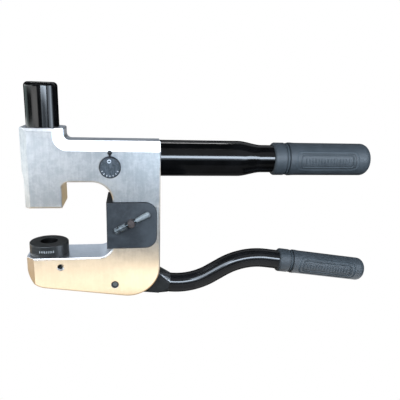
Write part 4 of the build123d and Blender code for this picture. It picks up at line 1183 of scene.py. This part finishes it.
stud_steps = 40
stud_sides = 14
stud_sizes = {
    "Stud circle": 1.9 * mm, "Stud wire": 0.65 * mm, "Stud middle": (82.1 * mm, knob_front, 113.3 * mm),
}
tree, start, size = new_tree("knob_stud", stud_sizes)
stud = tube_along(circle(start, size["Stud circle"], stud_steps), size["Stud wire"], stud_sides)
close_tree(moved(stud, size["Stud middle"], (quarter, 0.0, 0.0)), stud_steel)
grow("knob_stud", tree, stud_sizes, "release", "steel")

# %% [markdown]
# The nut on the clamp's bar is knurled in two bands with a groove between them. A knurl is a ring of
# straight ridges, so the tree makes one ridge for each band and turns copies of it round the bar's axis.

# %% Nut knurl
ridge_sides = 8
knurl_sizes = {
    "Ridge count": 9, "Ridge radius": 0.95 * mm, "Nut radius": 3.4 * mm,
    "Outer band": -20.8 * mm, "Outer length": 3.6 * mm, "Inner band": -12.2 * mm, "Inner length": 8.4 * mm,
    "Bar middle": (108.3 * mm, -37.3 * mm, 33.7 * mm), "Bar turn": (0.0, math.radians(-28.0), 0.0),
}
tree, start, size = new_tree("nut_knurl", knurl_sizes)


def ridge(start, middle, length):
    """One ridge along X at the top of the nut."""
    begin = vector(start, x=middle - 0.5 * length, z=size["Nut radius"])
    end = vector(start, x=middle + 0.5 * length, z=size["Nut radius"])
    line = start.node("GeometryNodeCurvePrimitiveLine", (), {"Start": begin, "End": end})
    return tube_along(line, size["Ridge radius"], ridge_sides)


outer_ridge = ridge(start, size["Outer band"], size["Outer length"])
inner_ridge = ridge(start, size["Inner band"], size["Inner length"])
order = start.node("GeometryNodeInputIndex")
turn = vector(start, x=order * math.tau / size["Ridge count"])
knurl = turned_copies(joined([outer_ridge, inner_ridge]), size["Ridge count"], turn)
close_tree(moved(knurl, size["Bar middle"], size["Bar turn"]), nut_steel)
grow("nut_knurl", tree, knurl_sizes, "clamp", "steel")

# %% [markdown]
# Two springs are inside: one lifts the ram and one pushes the pump's plunger down. A real spring closes up
# as its piece moves, which a stiff copy on a body cannot do. Each is a spiral of wire that stands for its
# packed node and rides on the frame.

# %% Springs
turn_steps = 36
spring_inputs = {
    "Spring circle": 0.0, "Wire radius": 0.0, "Turns": 0.0, "Rise": 0.0, "Spring foot": (0.0, 0.0, 0.0),
}
tree, start, size = new_tree("coil_spring", spring_inputs)
spiral = start.node("GeometryNodeCurveSpiral", (), {
    "Resolution": turn_steps, "Rotations": size["Turns"], "Start Radius": size["Spring circle"],
    "End Radius": size["Spring circle"], "Height": size["Rise"]})
wire = tube_along(spiral, size["Wire radius"], line_sides)
close_tree(moved(wire, size["Spring foot"]), finishes["steel"])


def closing_spring(name, node, wire_radius, turns):
    """A spring in the place of a packed one."""
    low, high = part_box(node)
    middle = (low + high) / 2
    length = high.z - low.z
    piece = grow(name, tree, {
        "Spring circle": (high.x - low.x) / 2 - wire_radius, "Wire radius": wire_radius, "Turns": turns,
        "Rise": length - 2 * wire_radius, "Spring foot": (middle.x, middle.y, low.z + wire_radius),
    }, "frame", "steel")
    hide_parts(node)
    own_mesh(piece)


closing_spring("ram_spring", "return_spring", wire_radius=1.5 * mm, turns=6.0)
closing_spring("plunger_spring", "pump_spring", wire_radius=0.9 * mm, turns=8.0)

# %% [markdown]
